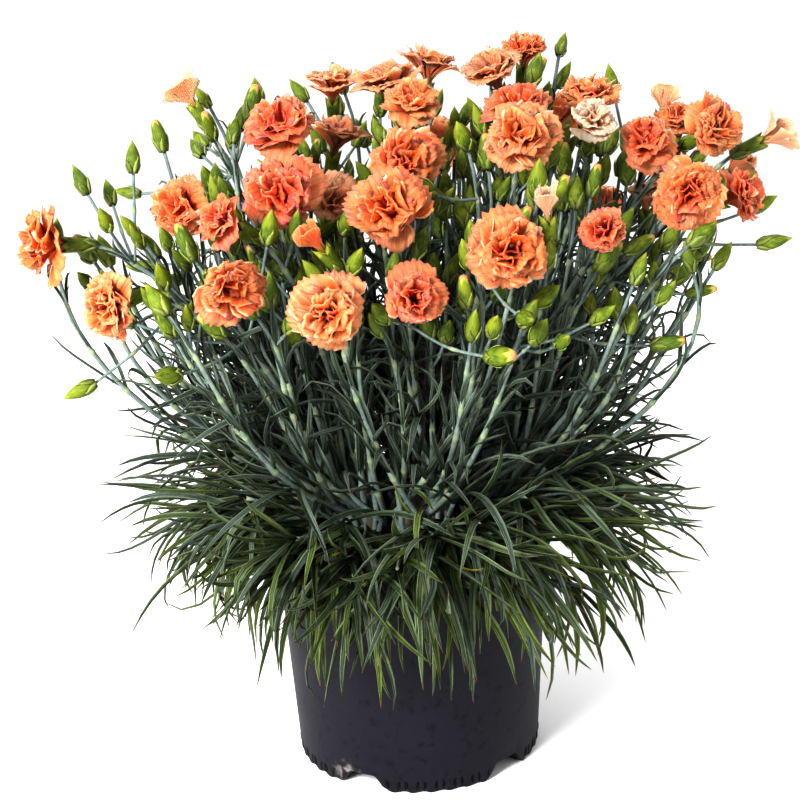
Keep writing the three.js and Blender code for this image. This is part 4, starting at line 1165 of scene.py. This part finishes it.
def leaf_skin():
    """Wax over green: blue-grey on young leaves, grass to yellow-green on old ones, with pale veins along
    the blade, painted highlight on its raised edges and painted shade in its groove and along its keel,
    painted shade darker and greener towards the stem inside the clump, mottled wear and a dry tip."""
    f = Finish("channelled leaf")
    along, across, tone, age = (f.attribute(name) for name in ("along", "across", "tone", "age"))
    off_middle = f.signal.maths("ABSOLUTE", across)
    vein = f.noise(5, 2, at=f.vector(across * 1.1 + tone * 40, along * 0.9 + tone * 17))
    lines = f.signal.maths("SINE", across * 8 + vein * 5)
    wax = f.noise(140, 4)
    fleck = f.noise(800, 2)
    glaucous = tone.mix((0.030, 0.045, 0.038), (0.138, 0.172, 0.148))
    grass = tone.mix((0.020, 0.040, 0.005), (0.145, 0.192, 0.015))
    base = age.between(0.05, 0.70).mix(glaucous, grass)
    base = (lines.between(0.1, 0.9) * 0.30).mix(base, (0.150, 0.190, 0.130))
    base = (lines.between(-0.1, -0.9) * 0.45).mix(base, (0.016, 0.030, 0.010))
    # Painted highlight along the raised edges of the blade, then painted shade in its groove and along its
    # keel.
    base = (off_middle.between(0.66, 0.94) * 0.6).mix(base, (0.240, 0.295, 0.190))
    base = (off_middle.between(0.34, 0.0) * 0.65).mix(base, (0.014, 0.028, 0.011))
    base = (wax.between(0.5, 0.75) * (1 - age) * 0.3).mix(base, (0.160, 0.200, 0.175))
    base = (fleck.between(0.55, 0.7) * 0.25).mix(base, (0.026, 0.038, 0.010))
    # Painted shade: darker and greener towards the stem, where the clump shades the leaf.
    base = (along.between(0.60, 0.0) * 0.85).mix(base, (0.012, 0.028, 0.003))
    base = (age.between(0.5, 0.8) * tone.between(0.972, 0.985) * 0.65).mix(base, (0.360, 0.270, 0.020))
    dry = (along + (tone - 0.5) * 0.03).between(0.955, 0.985)
    base = (dry * 0.9).mix(base, (0.420, 0.210, 0.065))
    return f.done(base, 0.5 + 0.18 * wax, lines, 0.0004, Specular_IOR_Level=0.22)


leaf_green = leaf_skin()
leaf_sets = [Gathering() for _ in shoots]


def put_leaves(gathered, root, heading, rise, length, droop, curl, width, age, hook, rings=LEAF_RINGS):
    """Adds closed channelled blades: at each ring two raised edges, a groove between them and a keel
    below. Width follows (0.84 + 0.16 sin(pi s)) (1 - s^4.5)^0.9, the blade twists evenly to its tip,
    and a few tips hook strongly up or down, unless the spread of their hooks is 0."""
    count = len(heading)
    hooks = rng.normal(0, hook, count)
    hooks += (rng.uniform(0, 1, count) < HOOKED_SHARE) * rng.uniform(-4, 3, count) * (hook > 0)
    sway = rng.normal(0, 0.10, count)
    paths, across = leaf_curves(root, heading, rise, length, droop, curl, hooks, sway, rings)
    paths = off_the_pot(paths)
    along = unit_rows(np.gradient(paths, axis=1))
    across = unit_rows(across - along * (across * along).sum(-1, keepdims=True))
    s = np.linspace(0, 1 - 0.3 / rings, rings)
    turn = rng.normal(0, 0.6, count)[:, None] * s + rng.normal(0, 0.2, count)[:, None]
    upper = np.cross(along, across)
    side = across * np.cos(turn)[..., None] + upper * np.sin(turn)[..., None]
    top = np.cross(along, side)
    width = np.asarray(width) * rng.uniform(0.85, 1.15, count)
    half = 0.5 * width[:, None] * (0.84 + 0.16 * np.sin(math.pi * s)) * (1 - s ** 4.5) ** 0.9
    lift = rng.uniform(0.25, 0.75, count)[:, None] * half
    y = np.stack([lift, 0 * lift, lift, -np.minimum(LEAF_THICKNESS, half)], -1)
    ends = paths[:, -1] + (paths[:, -1] - paths[:, -2]) * 0.25
    skin = with_points(sweep(paths, side, top, half[..., None] * LEAF_SECTION, y), ends)
    gathered.put(skin, capped(rings, 4, pointed=True),
                 along=on_points(np.repeat(s, 4), 1, count),
                 across=on_points(np.tile(LEAF_SECTION, rings), 0, count),
                 tone=rng.uniform(0, 1, count), age=np.clip(age, 0, 1))


def out_and_sideways(heading):
    """The level directions along and across headings that are given as azimuths."""
    flat = np.zeros_like(heading)
    return (np.stack([np.cos(heading), np.sin(heading), flat], 1),
            np.stack([-np.sin(heading), np.cos(heading), flat], 1))


def azimuth_and_rise(aim):
    """The azimuth and the elevation of rows of directions."""
    return np.arctan2(aim[:, 1], aim[:, 0]), np.arcsin(aim[:, 2])


# The leaves that the plan itself placed.
for shoot, gathered in zip(shoots, leaf_sets):
    root, heading, rise, length, droop, curl, width = (np.array(column) for column in zip(*shoot.leaves))
    age = 0.6 * smooth_step((215 - root[:, 2]) / 50) + rng.normal(0, 0.15, len(root))
    put_leaves(gathered, root, heading, rise, length, droop, curl, 1.2 * width, age, hook=0)

# A pair at every joint of the flowering stems: longer and spreading low down, short and upright above.
for shoot, gathered in zip(shoots, leaf_sets):
    place, spot, ahead = (np.array(column) for column in zip(*stem_joints[shoot.n]))
    for sign in (0, math.pi):
        count = len(place)
        out, _ = out_and_sideways(PAIR_TURN * np.arange(count) + sign)
        aim = unit_rows(ahead + out * (rng.uniform(0.15, 0.75, count) * (1.1 - 0.7 * place))[:, None])
        length = (90 - 68 * place) * rng.uniform(0.65, 1.15, count)
        put_leaves(gathered, spot, *azimuth_and_rise(aim), length, rng.uniform(-0.35, 0.55, count),
                   rng.normal(0, 0.35, count), 4.4 - 2.2 * place, rng.normal(0, 0.07, count),
                   hook=0.9, rings=JOINT_LEAF_RINGS)

# The mound: leafy side shoots that spread from every crown, each with pairs of leaves and a tuft.
for shoot in shoots:
    middle = shoot.n == 0
    count = TUFTS_EACH // 2 if middle else TUFTS_EACH
    steepest = 0.74 + 0.54 * min(0, shoot.crown[1] / RING_RADIUS)
    facing = math.atan2(shoot.crown[1], shoot.crown[0])
    fan = math.pi if middle else TUFT_SPREAD
    heading = facing + rng.permutation(np.linspace(-fan, fan, count)) + rng.normal(0, 0.14, count)
    if middle:
        rises = rng.uniform(0.4, 0.9, count)
    else:
        rises = rng.permutation(np.linspace(-0.25, steepest, count))
    length = rng.uniform(52, 80, count) + 14 * np.clip(rises, 0, 1)
    out, sideways = out_and_sideways(heading)
    root = shoot.crown + out * 12 + UP * (184 + 10 * np.clip(rises, 0, 1))[:, None]
    paths, _ = leaf_curves(root, heading, rises, length, rng.uniform(-0.2, 0.3, count),
                           rng.normal(0, 0.3, count), np.zeros(count), np.zeros(count), TWIG_RINGS)
    twigs = np.array([through(off_the_pot(path), STALK_RINGS) for path in paths])
    swell = np.zeros((count, STALK_RINGS))
    swell[:, 3::3] = 1
    put_tubes(stem_sets[shoot.n], twigs, 1.1 + 0.5 * swell, STALK_SIDES, swell, np.full(count, 0.8))
    along = unit_rows(np.gradient(twigs, axis=1))
    for k in range(TUFT_JOINTS):
        ring, level = min(3 + 3 * k, STALK_RINGS - 1), k / (TUFT_JOINTS - 1)
        lift = np.cross(along[:, ring], sideways)
        for sign in (0, math.pi):
            turn = PAIR_TURN * k + sign + rng.uniform(-0.5, 0.5, count)
            spread = sideways * np.cos(turn)[:, None] + lift * np.sin(turn)[:, None]
            aim = unit_rows((along[:, ring] + (0.85 - 0.4 * level) * spread) * (1, 1, 0.8))
            put_leaves(leaf_sets[shoot.n], twigs[:, ring], *azimuth_and_rise(aim),
                       rng.uniform(78, 116, count) * (1 - 0.25 * level), rng.uniform(-0.2, 1.0, count),
                       rng.normal(0, 0.3, count), np.full(count, 5.0 - 0.7 * level),
                       0.85 - 0.5 * level - 0.6 * rises + rng.normal(0, 0.22, count), hook=0.6)

# The skirt: long leaves from low on every outer crown, which lean over the lip and hang.
for shoot, gathered in zip(shoots[1:], leaf_sets[1:]):
    facing = math.atan2(shoot.crown[1], shoot.crown[0])
    heading = facing + np.linspace(-SKIRT_SPREAD, SKIRT_SPREAD, SKIRT_EACH)
    heading = heading + rng.normal(0, 0.08, SKIRT_EACH)
    out, _ = out_and_sideways(heading)
    root = shoot.crown + out * rng.uniform(22, 46, SKIRT_EACH)[:, None]
    put_leaves(gathered, root + UP * rng.uniform(174, 192, SKIRT_EACH)[:, None], heading,
               rng.uniform(0.0, 0.4, SKIRT_EACH), rng.uniform(88, 138, SKIRT_EACH),
               rng.uniform(1.5, 2.1, SKIRT_EACH), rng.normal(0, 0.3, SKIRT_EACH), np.full(SKIRT_EACH, 5.4),
               rng.normal(0.66, 0.25, SKIRT_EACH), hook=0.2)

for shoot, stems, leaves in zip(shoots, stem_sets, leaf_sets):
    node = f"shoot_{shoot.n}"
    stems.piece(f"{node}_stems", stem_green, "foliage", [node])
    leaves.piece(f"{node}_leaves", leaf_green, "foliage", [node], "across")

# ---------------------------------------------------------------------------------------------------
# Crowns. The crowded woody bases of old shoots, wrapped in dead brown sheaths, from the soil up into
# the heart of every shoot.
# ---------------------------------------------------------------------------------------------------


def shaded_sheath_skin():
    """Dry straw and dark olive fibres running upwards, both kept near black as painted shade of the clump's
    heart.
    """
    f = Finish("old leaf sheaths")
    fibre = f.noise(300, 4, (1, 1, 0.15))
    # Painted shade: both fibre colours are kept near black for the shadowed heart of the clump.
    base = fibre.between(0.35, 0.65).mix((0.010, 0.014, 0.005), (0.060, 0.055, 0.022))
    return f.done(base, 0.8, fibre, 0.0006)


CROWN_AROUND = 32
CROWN_RINGS = 12

shaded_old_sheath = shaded_sheath_skin()
for shoot in shoots:
    node = f"shoot_{shoot.n}"
    turn = 2 * math.pi * np.arange(CROWN_AROUND) / CROWN_AROUND
    level = np.linspace(0, 1, CROWN_RINGS)[:, None]
    radius = (12 + 8 * np.sin(math.pi * level ** 0.8)) * (1 + 0.16 * np.cos(7 * turn + 9 * level + shoot.n))
    z = SOIL_TOP - 8 + 60 * level + 3 * np.sin(5 * turn + shoot.n)
    heart = np.stack([radius * np.cos(turn), radius * np.sin(turn), z], -1) + shoot.crown
    tip = (shoot.crown + UP * (SOIL_TOP + 55))[None]
    faces = capped(CROWN_RINGS, CROWN_AROUND, pointed=True)
    add_piece(f"{node}_crown", with_points(heart[None], tip), faces, shaded_old_sheath, "foliage", [node])

# ---------------------------------------------------------------------------------------------------
# Buds and green flower tubes. Smooth lime-green calyxes with fine ribs and five yellow-tipped teeth,
# wrapped at the foot in two pairs of short bracts. The fattest buds show a slit of petal.
# ---------------------------------------------------------------------------------------------------

BUD_RINGS = 13
BUD_AROUND = 10
BRACT_RINGS = 5
BUD_PROFILE = np.array([0.34, 0.72, 0.92, 1.0, 1.02, 1.0, 0.95, 0.88, 0.78, 0.65, 0.50, 0.34, 0.17])
TUBE_PROFILE = np.array([0.42, 0.72, 0.84, 0.88, 0.90, 0.92, 0.94, 0.96, 0.98, 1.0, 1.02, 1.05, 1.08])
# How far the four lines of a bract lie off the bud: inside its middle, an edge, outside, an edge.
BRACT_LIFT = (0.0, 0.25, 0.75, 0.25)


def bud_skin():
    """Lime green, darker at the foot and in patches, with pale ribs and edges, yellow teeth, and cream
    to orange at ripe tips."""
    f = Finish("lime green calyx")
    along, around, tone, ripe = (f.attribute(name) for name in ("along", "around", "tone", "ripe"))
    rib = f.noise(7, 2, at=f.vector(around * 2.6 + tone * 31, along * 0.5 + tone * 7))
    cloud = f.noise(130, 3)
    lobes = along + f.signal.maths("COSINE", around * 5) * 0.055
    edge = f.attribute("edge")
    base = tone.mix((0.052, 0.086, 0.008), (0.160, 0.195, 0.010))
    base = (cloud.between(0.47, 0.62) * 0.75).mix(base, (0.022, 0.058, 0.006))
    base = (along.between(0.65, 0.05) * 0.45).mix(base, (0.050, 0.095, 0.020))
    base = (rib.between(0.5, 0.66) * 0.5).mix(base, (0.300, 0.345, 0.045))
    base = (edge.between(0.25, 0.85) * 0.85).mix(base, (0.340, 0.370, 0.120))
    base = (lobes.between(0.84, 0.99) * (0.4 + ripe * 0.4)).mix(base, (0.400, 0.400, 0.060))
    petal = rib.between(0.42, 0.58).mix((0.55, 0.14, 0.05), (0.58, 0.34, 0.18))
    base = (ripe * lobes.between(0.82, 0.93) * 0.65).mix(base, (0.320, 0.310, 0.070))
    base = (ripe * lobes.between(0.94, 0.96)).mix(base, petal)
    return f.done(base, 0.45 + 0.15 * cloud, rib, 0.00025, Specular_IOR_Level=0.18)


def put_bracts(gathered, foot, axis, side, across, length, radius, tone):
    """Four short bracts that hug the foot of each bud, in two pairs: thin pointed shells, bent round it
    over an angle of 0.8 (1 - s^2.2)^0.8 to each side of their middle."""
    count = len(foot)
    s = np.linspace(0, 0.93, BRACT_RINGS)
    start = rng.uniform(0, 2 * math.pi, count)
    for k in range(4):
        middle = (start + k * math.pi / 2)[:, None]
        angle = middle[..., None] + (0.8 * (1 - s ** 2.2) ** 0.8)[:, None] * LEAF_SECTION[::-1]
        out = radius[:, None, None] * (0.45 + 0.62 * np.sin(1.6 * s + 0.12))[:, None] + BRACT_LIFT
        reach = length * (0.40 if k % 2 else 0.52)
        rows = foot[:, None] + axis[:, None] * (reach[:, None] * s - 0.8)[..., None]
        scale = sweep(rows, side, across, out * np.cos(angle), out * np.sin(angle))
        outward = side[:, 0] * np.cos(middle) + across[:, 0] * np.sin(middle)
        point = foot + axis * (1.08 * reach)[:, None] + outward * (1.02 * radius)[:, None]
        gathered.put(with_points(scale, point), capped(BRACT_RINGS, 4, pointed=True),
                     along=on_points(0.8 * np.repeat(s, 4), 0.82, count),
                     around=on_points(np.tile([0.0, 1.0, 2.0, 1.0], BRACT_RINGS), 1, count),
                     edge=on_points(np.tile([0.0, 1.0, 0.0, 1.0], BRACT_RINGS), 1, count),
                     tone=0.7 * tone, ripe=0.0)


def put_calyxes(gathered, foot, tip, radius, girth, lobes, tone, ripe, ends, teeth=0.0):
    """Spindles from foot to tip: radius times a profile of s, times 1 + lobes s^2 cos 5a, with the last
    ring drawn up and down by the teeth, and bracts round each foot."""
    count, around = len(foot), BUD_AROUND
    axis = unit_rows(tip - foot)
    length = np.linalg.norm(tip - foot, axis=1)
    s = np.linspace(0, 1, BUD_RINGS) ** 0.9
    paths = foot[:, None] + (tip - foot)[:, None] * s[:, None]
    _, side, across = frames_of(paths, (0.3, 0.9, -0.2))
    turn = 2 * math.pi * np.arange(around) / around
    shape = (radius[:, None] * girth)[..., None] * (1 + lobes * s[:, None] ** 2 * np.cos(5 * turn))
    skin = sweep(paths, side, across, shape * np.cos(turn), shape * np.sin(turn))
    skin[:, -1] += axis[:, None] * (teeth * np.cos(5 * turn))[:, None]
    tone = np.broadcast_to(tone, count)
    gathered.put(with_points(skin, ends), capped(BUD_RINGS, around, pointed=True),
                 along=on_points(np.repeat(s, around), 1, count),
                 around=on_points(np.tile(turn, BUD_RINGS), 0, count), edge=0.0, tone=tone, ripe=ripe)
    put_bracts(gathered, foot, axis, side[:, :1], across[:, :1], length, radius, tone)


bud_green = bud_skin()
for shoot in shoots:
    gathered = Gathering()
    ends = np.array([bud[-2:] for bud in shoot.buds] + [bud for _, bud in shoot.young])
    foot, tip = ends[:, 0], ends[:, 1]
    count = len(foot)
    size = rng.uniform(0.82, 1.22, count)
    ripe = (rng.uniform(0, 1, count) < 0.26) * (size > 0.9) * 1.0
    tip = foot + (tip - foot) * (0.44 + 0.5 * size + 0.1 * ripe)[:, None]
    girth = BUD_PROFILE ** (1 - 0.5 * ripe[:, None])
    end = foot + (tip - foot) * np.where(ripe > 0, 1.02, 1.09)[:, None]
    put_calyxes(gathered, foot, tip, BUD_RADIUS * size * rng.uniform(0.76, 0.95, count), girth, 0.1,
                rng.uniform(0, 1, count), ripe, end)
    root = np.array([head.root for head, _, _ in shoot.stems])
    facing = np.array([head.facing for head, _, _ in shoot.stems])
    count = len(root)
    put_calyxes(gathered, root - 1.5 * facing, root + (TUBE_LENGTH + 1) * facing,
                np.full(count, 1.16 * TUBE_RADIUS), np.tile(TUBE_PROFILE, (count, 1)), 0.04,
                rng.uniform(0.2, 0.9, count), 0.0, root + (TUBE_LENGTH - 2) * facing, teeth=2.6)
    node = f"shoot_{shoot.n}"
    gathered.piece(f"{node}_buds", bud_green, "foliage", [node])

# ---------------------------------------------------------------------------------------------------
# Blooms. Each is a rosette of thin silky petals set at the golden angle: the outer ones broad and
# pleated, the inner ones smaller, upright and crumpled, all with finely toothed margins.
# ---------------------------------------------------------------------------------------------------

PETALS_FULL = 21
PETAL_ACROSS = 17
PETAL_RINGS = 7
PETAL_THICKNESS = 0.32
GOLDEN = 2.39996
DOME_TOP = 1.30
DOME_FOOT = 1.2
FULL_WIDTH = 44
HALF_OPEN = 0.6


def petal_shells(middle, v):
    """Closed shells round the middle surfaces of petals: each has a skin on both sides, half the
    thickness away and further near the claw, and the skins share the points at both edges."""
    normal = unit_rows(np.cross(np.gradient(middle, axis=2), np.gradient(middle, axis=1)))
    skin = normal * (0.5 * PETAL_THICKNESS * (1 + 1.2 * (1 - v)))[..., None]
    top, low = middle + skin, middle - skin
    return np.concatenate([middle[:, :, :1], top[:, :, 1:-1], middle[:, :, -1:], low[:, :, -2:0:-1]], 2)


def blossom(head):
    """Petal k of P lies at golden angle k and level q = (k + 0.5) / P. Its tip is near a dome of the
    flower's width and height; its middle line is a curve from the tube's mouth out to that tip, and
    the innermost stand in the middle. Across, it widens from a narrow claw, is cupped when young, and
    waves ever more towards its toothed margin. A flower that is still half open has four plain petals,
    which flare as it opens, and a faded one is a wider bowl. Each is slanted a little to one side.
    Along a petal v runs from 0 to 1, and across it u runs from -1 to 1. Returns closed shells and the
    numbers of each point."""
    young, faded = head.openness < HALF_OPEN, head.shade == "faded"
    calm = (0.5 if head.shade in ("faded", "pale") else 1.0) * (0.4 if young else 1)
    fullness = (0.35 + 0.65 * min(1, head.width / FULL_WIDTH)) * (0.25 + 0.75 * head.openness)
    fullness *= 0.4 + 0.6 * calm
    count = 4 if young else max(7, round(PETALS_FULL * fullness))
    q = ((np.arange(count) + 0.5) / count)[:, None, None]
    v = np.linspace(0, 1, PETAL_RINGS)[None, :, None] ** 0.85
    u = np.linspace(-1, 1, PETAL_ACROSS)[None, None, :]
    flare = 0.55 + 2 * head.openness if young else 1.12 if faded else 0.93
    radius, height = head.width / 2 * flare, head.height * (1.15 if young else 1)

    def chance(low, high):
        return rng.uniform(low, high, (count, 1, 1))

    # Where each petal points, and how far out and how high its tip lies.
    turn = GOLDEN * np.arange(count)[:, None, None] + chance(-0.4, 0.4)
    aslant = rng.uniform(0.05, 0.22) * np.cos(turn - rng.uniform(0, 2 * math.pi))
    foot = (1 - head.openness) * (0.7 if young else DOME_FOOT) + 0.4 * faded
    lift = foot + (DOME_TOP - foot) * q ** 0.85 + chance(-0.16, 0.16) * calm - aslant * (1 - q)
    inmost = smooth_step((q - 0.55) / 0.45) * head.openness
    reach = radius * np.cos(lift) / math.cos(foot) * chance(0.80, 1.10) * (1 + aslant) + 1.5
    reach = reach - 0.35 * radius * inmost * chance(0.4, 1.4)
    core = smooth_step((q - 0.72) / 0.2) * head.openness
    reach = reach + core * (radius * chance(-0.15, 0.36) - reach)
    rise = height * (0.36 + 0.64 * np.sin(lift)) * chance(0.86, 1.05)
    rise = rise * (1 - 0.1 * inmost) * (1 - core * chance(0, 0.4))

    # Its outline, and the curve of its middle line.
    half = radius * (0.78 - 0.24 * q) * chance(0.8, 1.18)
    width = half * (0.10 + 0.90 * smooth_step((v - 0.10) / 0.66))
    zigzag = np.where(np.arange(PETAL_ACROSS) % 2 == 0, 0.5, -0.5)
    teeth = zigzag * rng.uniform(0.3, 1.6, (count, 1, PETAL_ACROSS))
    rounding = (0.55 if young else 0.22) * u ** 2
    rim = v * (1 - rounding * v) + 0.05 * teeth * v ** 9 + chance(-0.09, 0.09) * u * v ** 2
    droop = 0.34 * radius * (1 - q) ** 3 * head.openness * chance(-0.1, 1.2)
    a, b = (1 - rim) ** 3, 3 * (1 - rim) ** 2 * rim
    c, d = 3 * (1 - rim) * rim ** 2, rim ** 3
    bulge = (0.8 if young else 0.45) * reach + 0.16 * radius * inmost - core * radius * chance(-0.05, 0.34)
    out = 1.2 * a + (2.0 + 2 * q) * b + bulge * c + reach * d
    up = -3 * a + (0.45 * rise + 2) * b + (1.05 * rise + 1.5) * c + (rise - droop) * d

    # Its relief: waves, pleats, a cup and a fold, all square to the middle line.
    ruffle = calm * radius * (0.05 + 0.11 * q) * v ** 1.3
    waves_across = chance(1.1, 2.6) * u * math.pi + chance(0, 6.3)
    wave = np.sin(waves_across) + 0.35 * np.sin(2.3 * waves_across + chance(0, 6.3)) * v
    wave = ruffle * wave + 0.022 * radius * np.sin(chance(5.5, 7.5) * u * math.pi + chance(0, 6.3)) * v ** 3
    pleat = (0.12 if young else 0.4) * np.cos(8 * math.pi * u) * smooth_step(v * 1.3)
    cup = half * (0.08 + (0.1 if young else 0.45) * q * chance(0.2, 1.4)) * u ** 2 * smooth_step(v * 1.4)
    fold = half * calm * chance(-0.6, 0.6) * q * u * v
    sideways = width * (u + chance(-0.14, 0.14) * v) * (1 - 0.12 * q)
    off = wave + pleat + cup + fold
    out = out - off * np.sin(0.75 * lift)
    up = up + off * np.cos(0.75 * lift)
    cos, sin = np.cos(turn), np.sin(turn)
    middle = np.stack(np.broadcast_arrays(out * cos - sideways * sin, out * sin + sideways * cos, up), -1)
    shell = petal_shells(middle, v)

    # The flower turned to face its own way, at the mouth of its tube.
    _, side, across = frames_of(np.stack([head.mouth, head.mouth + head.facing])[None], (0.31, 0.17, 0.08))
    points = head.mouth + shell @ np.stack([side[0, 0], across[0, 0], head.facing])
    order = np.concatenate([np.arange(PETAL_ACROSS), np.arange(PETAL_ACROSS)[-2:0:-1]])
    crest = np.clip(0.5 + 0.5 * (wave + pleat) / (ruffle + 0.4), 0, 1)
    numbers = {"along": v, "across": u[..., order], "level": q, "crest": crest[..., order],
               "tone": chance(0, 1), "streak": chance(0, 1)}
    for label, value in numbers.items():
        numbers[label] = np.broadcast_to(value, shell.shape[:3]).reshape(count, -1)
    return points, numbers


def petal_faces():
    """Walls of the shell, a cap on the claw, and the margin zipped between its two skins."""
    around = 2 * PETAL_ACROSS - 2
    start = (PETAL_RINGS - 1) * around
    top = start + np.arange(PETAL_ACROSS)
    low = start + (-np.arange(PETAL_ACROSS)) % around
    quads = np.stack([top[1:-2], top[2:-1], low[2:-1], low[1:-2]], 1)
    ends = np.array([[top[0], top[1], low[1]], [top[-2], top[-1], low[-2]]])
    return [ring_faces(PETAL_RINGS, around), np.arange(around)[::-1][None], quads, ends]


def petal_skin(shade, deep, body, light, margin, streaks, veins):
    """Silky petal: deep in the heart and paler outwards, with painted shade in its folds and creases and
    painted highlight on its crests and on the ridges between creases, fine veins fanning from the claw,
    a tinted margin, and now and then a streak."""
    f = Finish(f"{shade} petals")
    names = ("along", "across", "level", "crest", "tone", "streak")
    along, across, level, crest, tone, streak = (f.attribute(name) for name in names)
    fan = f.vector(across * 3.2 + tone * 47, along * 0.55 + tone * 29)
    vein = f.noise(5.5, 4, at=fan)
    broad = f.noise(1.5, 2, at=fan)
    crease = f.noise(2.6, 2, at=f.vector(across * 3.2 + tone * 47, along * 0.16 + tone * 29))
    cloud = f.noise(120, 3)
    base = (along + broad * 0.3 - 0.15).between(0.38, 1.0).mix(deep, body)
    # Paler at random and on outer petals, and a painted highlight on the crests of the waves and pleats.
    pale = (broad.between(0.40, 0.65) * 0.5 + tone * 0.5) * (1 - level * 0.6) * (0.35 + crest * 0.65)
    base = pale.mix(base, light)
    # Painted shade: deep colour in the troughs of the waves and pleats.
    base = (crest.between(0.45, 0.05) * along * veins).mix(base, deep)
    base = (vein.between(0.52, 0.64) * veins).mix(base, deep)
    # Painted shade in the troughs of the bumped creases and painted highlight on the ridges between them.
    base = (crease.between(0.50, 0.36) * along.between(0.2, 0.6) * veins).mix(base, deep)
    base = (crease.between(0.54, 0.66) * along.between(0.4, 0.9) * veins).mix(base, light)
    base = (cloud.between(0.45, 0.65) * 0.2).mix(base, light)
    base = (along.between(0.62, 1.0) * (1 - level * 0.5) * 0.55).mix(base, light)
    base = (along.between(0.94, 1.0) * (0.25 + 0.6 * broad)).mix(base, margin)
    streaked = streak.between(1 - streaks, 1 - 0.6 * streaks)
    drawn = vein.between(0.55, 0.63) * streaked * along.between(0.25, 0.7)
    base = (drawn * 0.85).mix(base, (0.62, 0.030, 0.15))
    base = (along.between(0.26, 0.02) * 0.7).mix(base, (0.48, 0.48, 0.14))
    return f.done(base, 0.5 + 0.15 * vein, vein * 0.5 + crease * 1.6, 0.0007,
                  Subsurface_Weight=0.8, Subsurface_Scale=0.006, Subsurface_Radius=(1.0, 0.55, 0.35),
                  Specular_IOR_Level=0.15)


# Deep heart, body, light parts and margin of each shade, then how many petals are streaked and how
# strongly the veins show.
SHADES = {
    "orange": ((0.66, 0.056, 0.003), (0.60, 0.094, 0.014), (0.58, 0.218, 0.104), (0.52, 0.056, 0.040),
               0.24, 0.55),
    "coral": ((0.64, 0.040, 0.004), (0.58, 0.074, 0.018), (0.57, 0.192, 0.104), (0.50, 0.038, 0.048),
              0.40, 0.55),
    "peach": ((0.66, 0.066, 0.004), (0.59, 0.126, 0.028), (0.59, 0.264, 0.140), (0.53, 0.083, 0.050),
              0.26, 0.55),
    "faded": ((0.47, 0.083, 0.028), (0.50, 0.168, 0.074), (0.54, 0.268, 0.154), (0.43, 0.070, 0.056),
              0.20, 0.55),
    "pale": ((0.52, 0.200, 0.110), (0.58, 0.340, 0.235), (0.63, 0.450, 0.340), (0.56, 0.200, 0.140),
             0.08, 0.3),
}
silks = {shade: petal_skin(shade, *look) for shade, look in SHADES.items()}
for head in heads:
    gathered = Gathering()
    points, numbers = blossom(head)
    gathered.put(points, petal_faces(), **numbers)
    node = f"bloom_{head.n + 1:02d}"
    gathered.piece(f"{node}_petals", silks[head.shade], f"petals_{head.shade}", [node])

# ---------------------------------------------------------------------------------------------------
# The room: a pale floor that runs out of sight, a near-white surround, large soft lights from above,
# and the camera, a little above the plant's height and looking down at it.
# ---------------------------------------------------------------------------------------------------

FLOOR_SIZE = 12.0
SURROUND_STRENGTH = 1.1
LIT_HEIGHT = 0.25
CAMERA_PLACE = (0, -1.010, 0.5245)
CAMERA_PITCH = 14.9
CAMERA_ROLL = -2.45
CAMERA_LENS = 67.5
CAMERA_SHIFT = -0.00675
VIEW_GAMMA = 0.76

f = Finish("pale paper floor")
plain_floor = f.done(f.noise(3, 2).mix((0.90, 0.90, 0.90), (0.92, 0.92, 0.92)), 0.7)
mesh = bpy.data.meshes.new("floor")
corners = np.array([(-1, -1, 0), (1, -1, 0), (1, 1, 0), (-1, 1, 0)]) * FLOOR_SIZE / 2
mesh.from_pydata(corners.tolist(), [], [(0, 1, 2, 3)])
mesh.materials.append(plain_floor)
paper = bpy.data.objects.new("floor", mesh)
bpy.context.scene.collection.objects.link(paper)

surround = bpy.data.worlds.new("surround")
surround.use_nodes = True
backdrop = surround.node_tree.nodes["Background"]
backdrop.inputs["Color"].default_value = (1, 1, 1, 1)
backdrop.inputs["Strength"].default_value = SURROUND_STRENGTH
bpy.context.scene.world = surround


def soft_light(name, place, power, size):
    """A square soft light at a place in metres, turned to the middle of the plant."""
    lamp = bpy.data.lights.new(name, "AREA")
    lamp.energy, lamp.size = power, size
    light = bpy.data.objects.new(name, lamp)
    away = unit(np.array(place) - LIT_HEIGHT * UP)
    side = unit(np.cross(UP, away))
    over = np.cross(away, side)
    rows = [[*axis, spot] for axis, spot in zip(np.array([side, over, away]).T, place)]
    light.matrix_world = Matrix([*rows, [0, 0, 0, 1]])
    bpy.context.scene.collection.objects.link(light)


soft_light("key", (-1.0, -1.45, 1.2), 105, 0.6)
soft_light("fill", (1.5, -1.0, 1.2), 3, 1.2)
soft_light("back", (0.3, 1.7, 1.3), 20, 1.4)

camera = bpy.data.cameras.new("camera")
camera.lens = CAMERA_LENS
camera.sensor_width = 36
camera.shift_x = CAMERA_SHIFT
seat = bpy.data.objects.new("camera", camera)
seat.matrix_world = (Matrix.Translation(CAMERA_PLACE)
                     @ Matrix.Rotation(math.radians(90 - CAMERA_PITCH), 4, "X")
                     @ Matrix.Rotation(math.radians(CAMERA_ROLL), 4, "Z"))
bpy.context.scene.collection.objects.link(seat)
bpy.context.scene.camera = seat
bpy.context.scene.view_settings.view_transform = "Standard"
bpy.context.scene.view_settings.gamma = VIEW_GAMMA
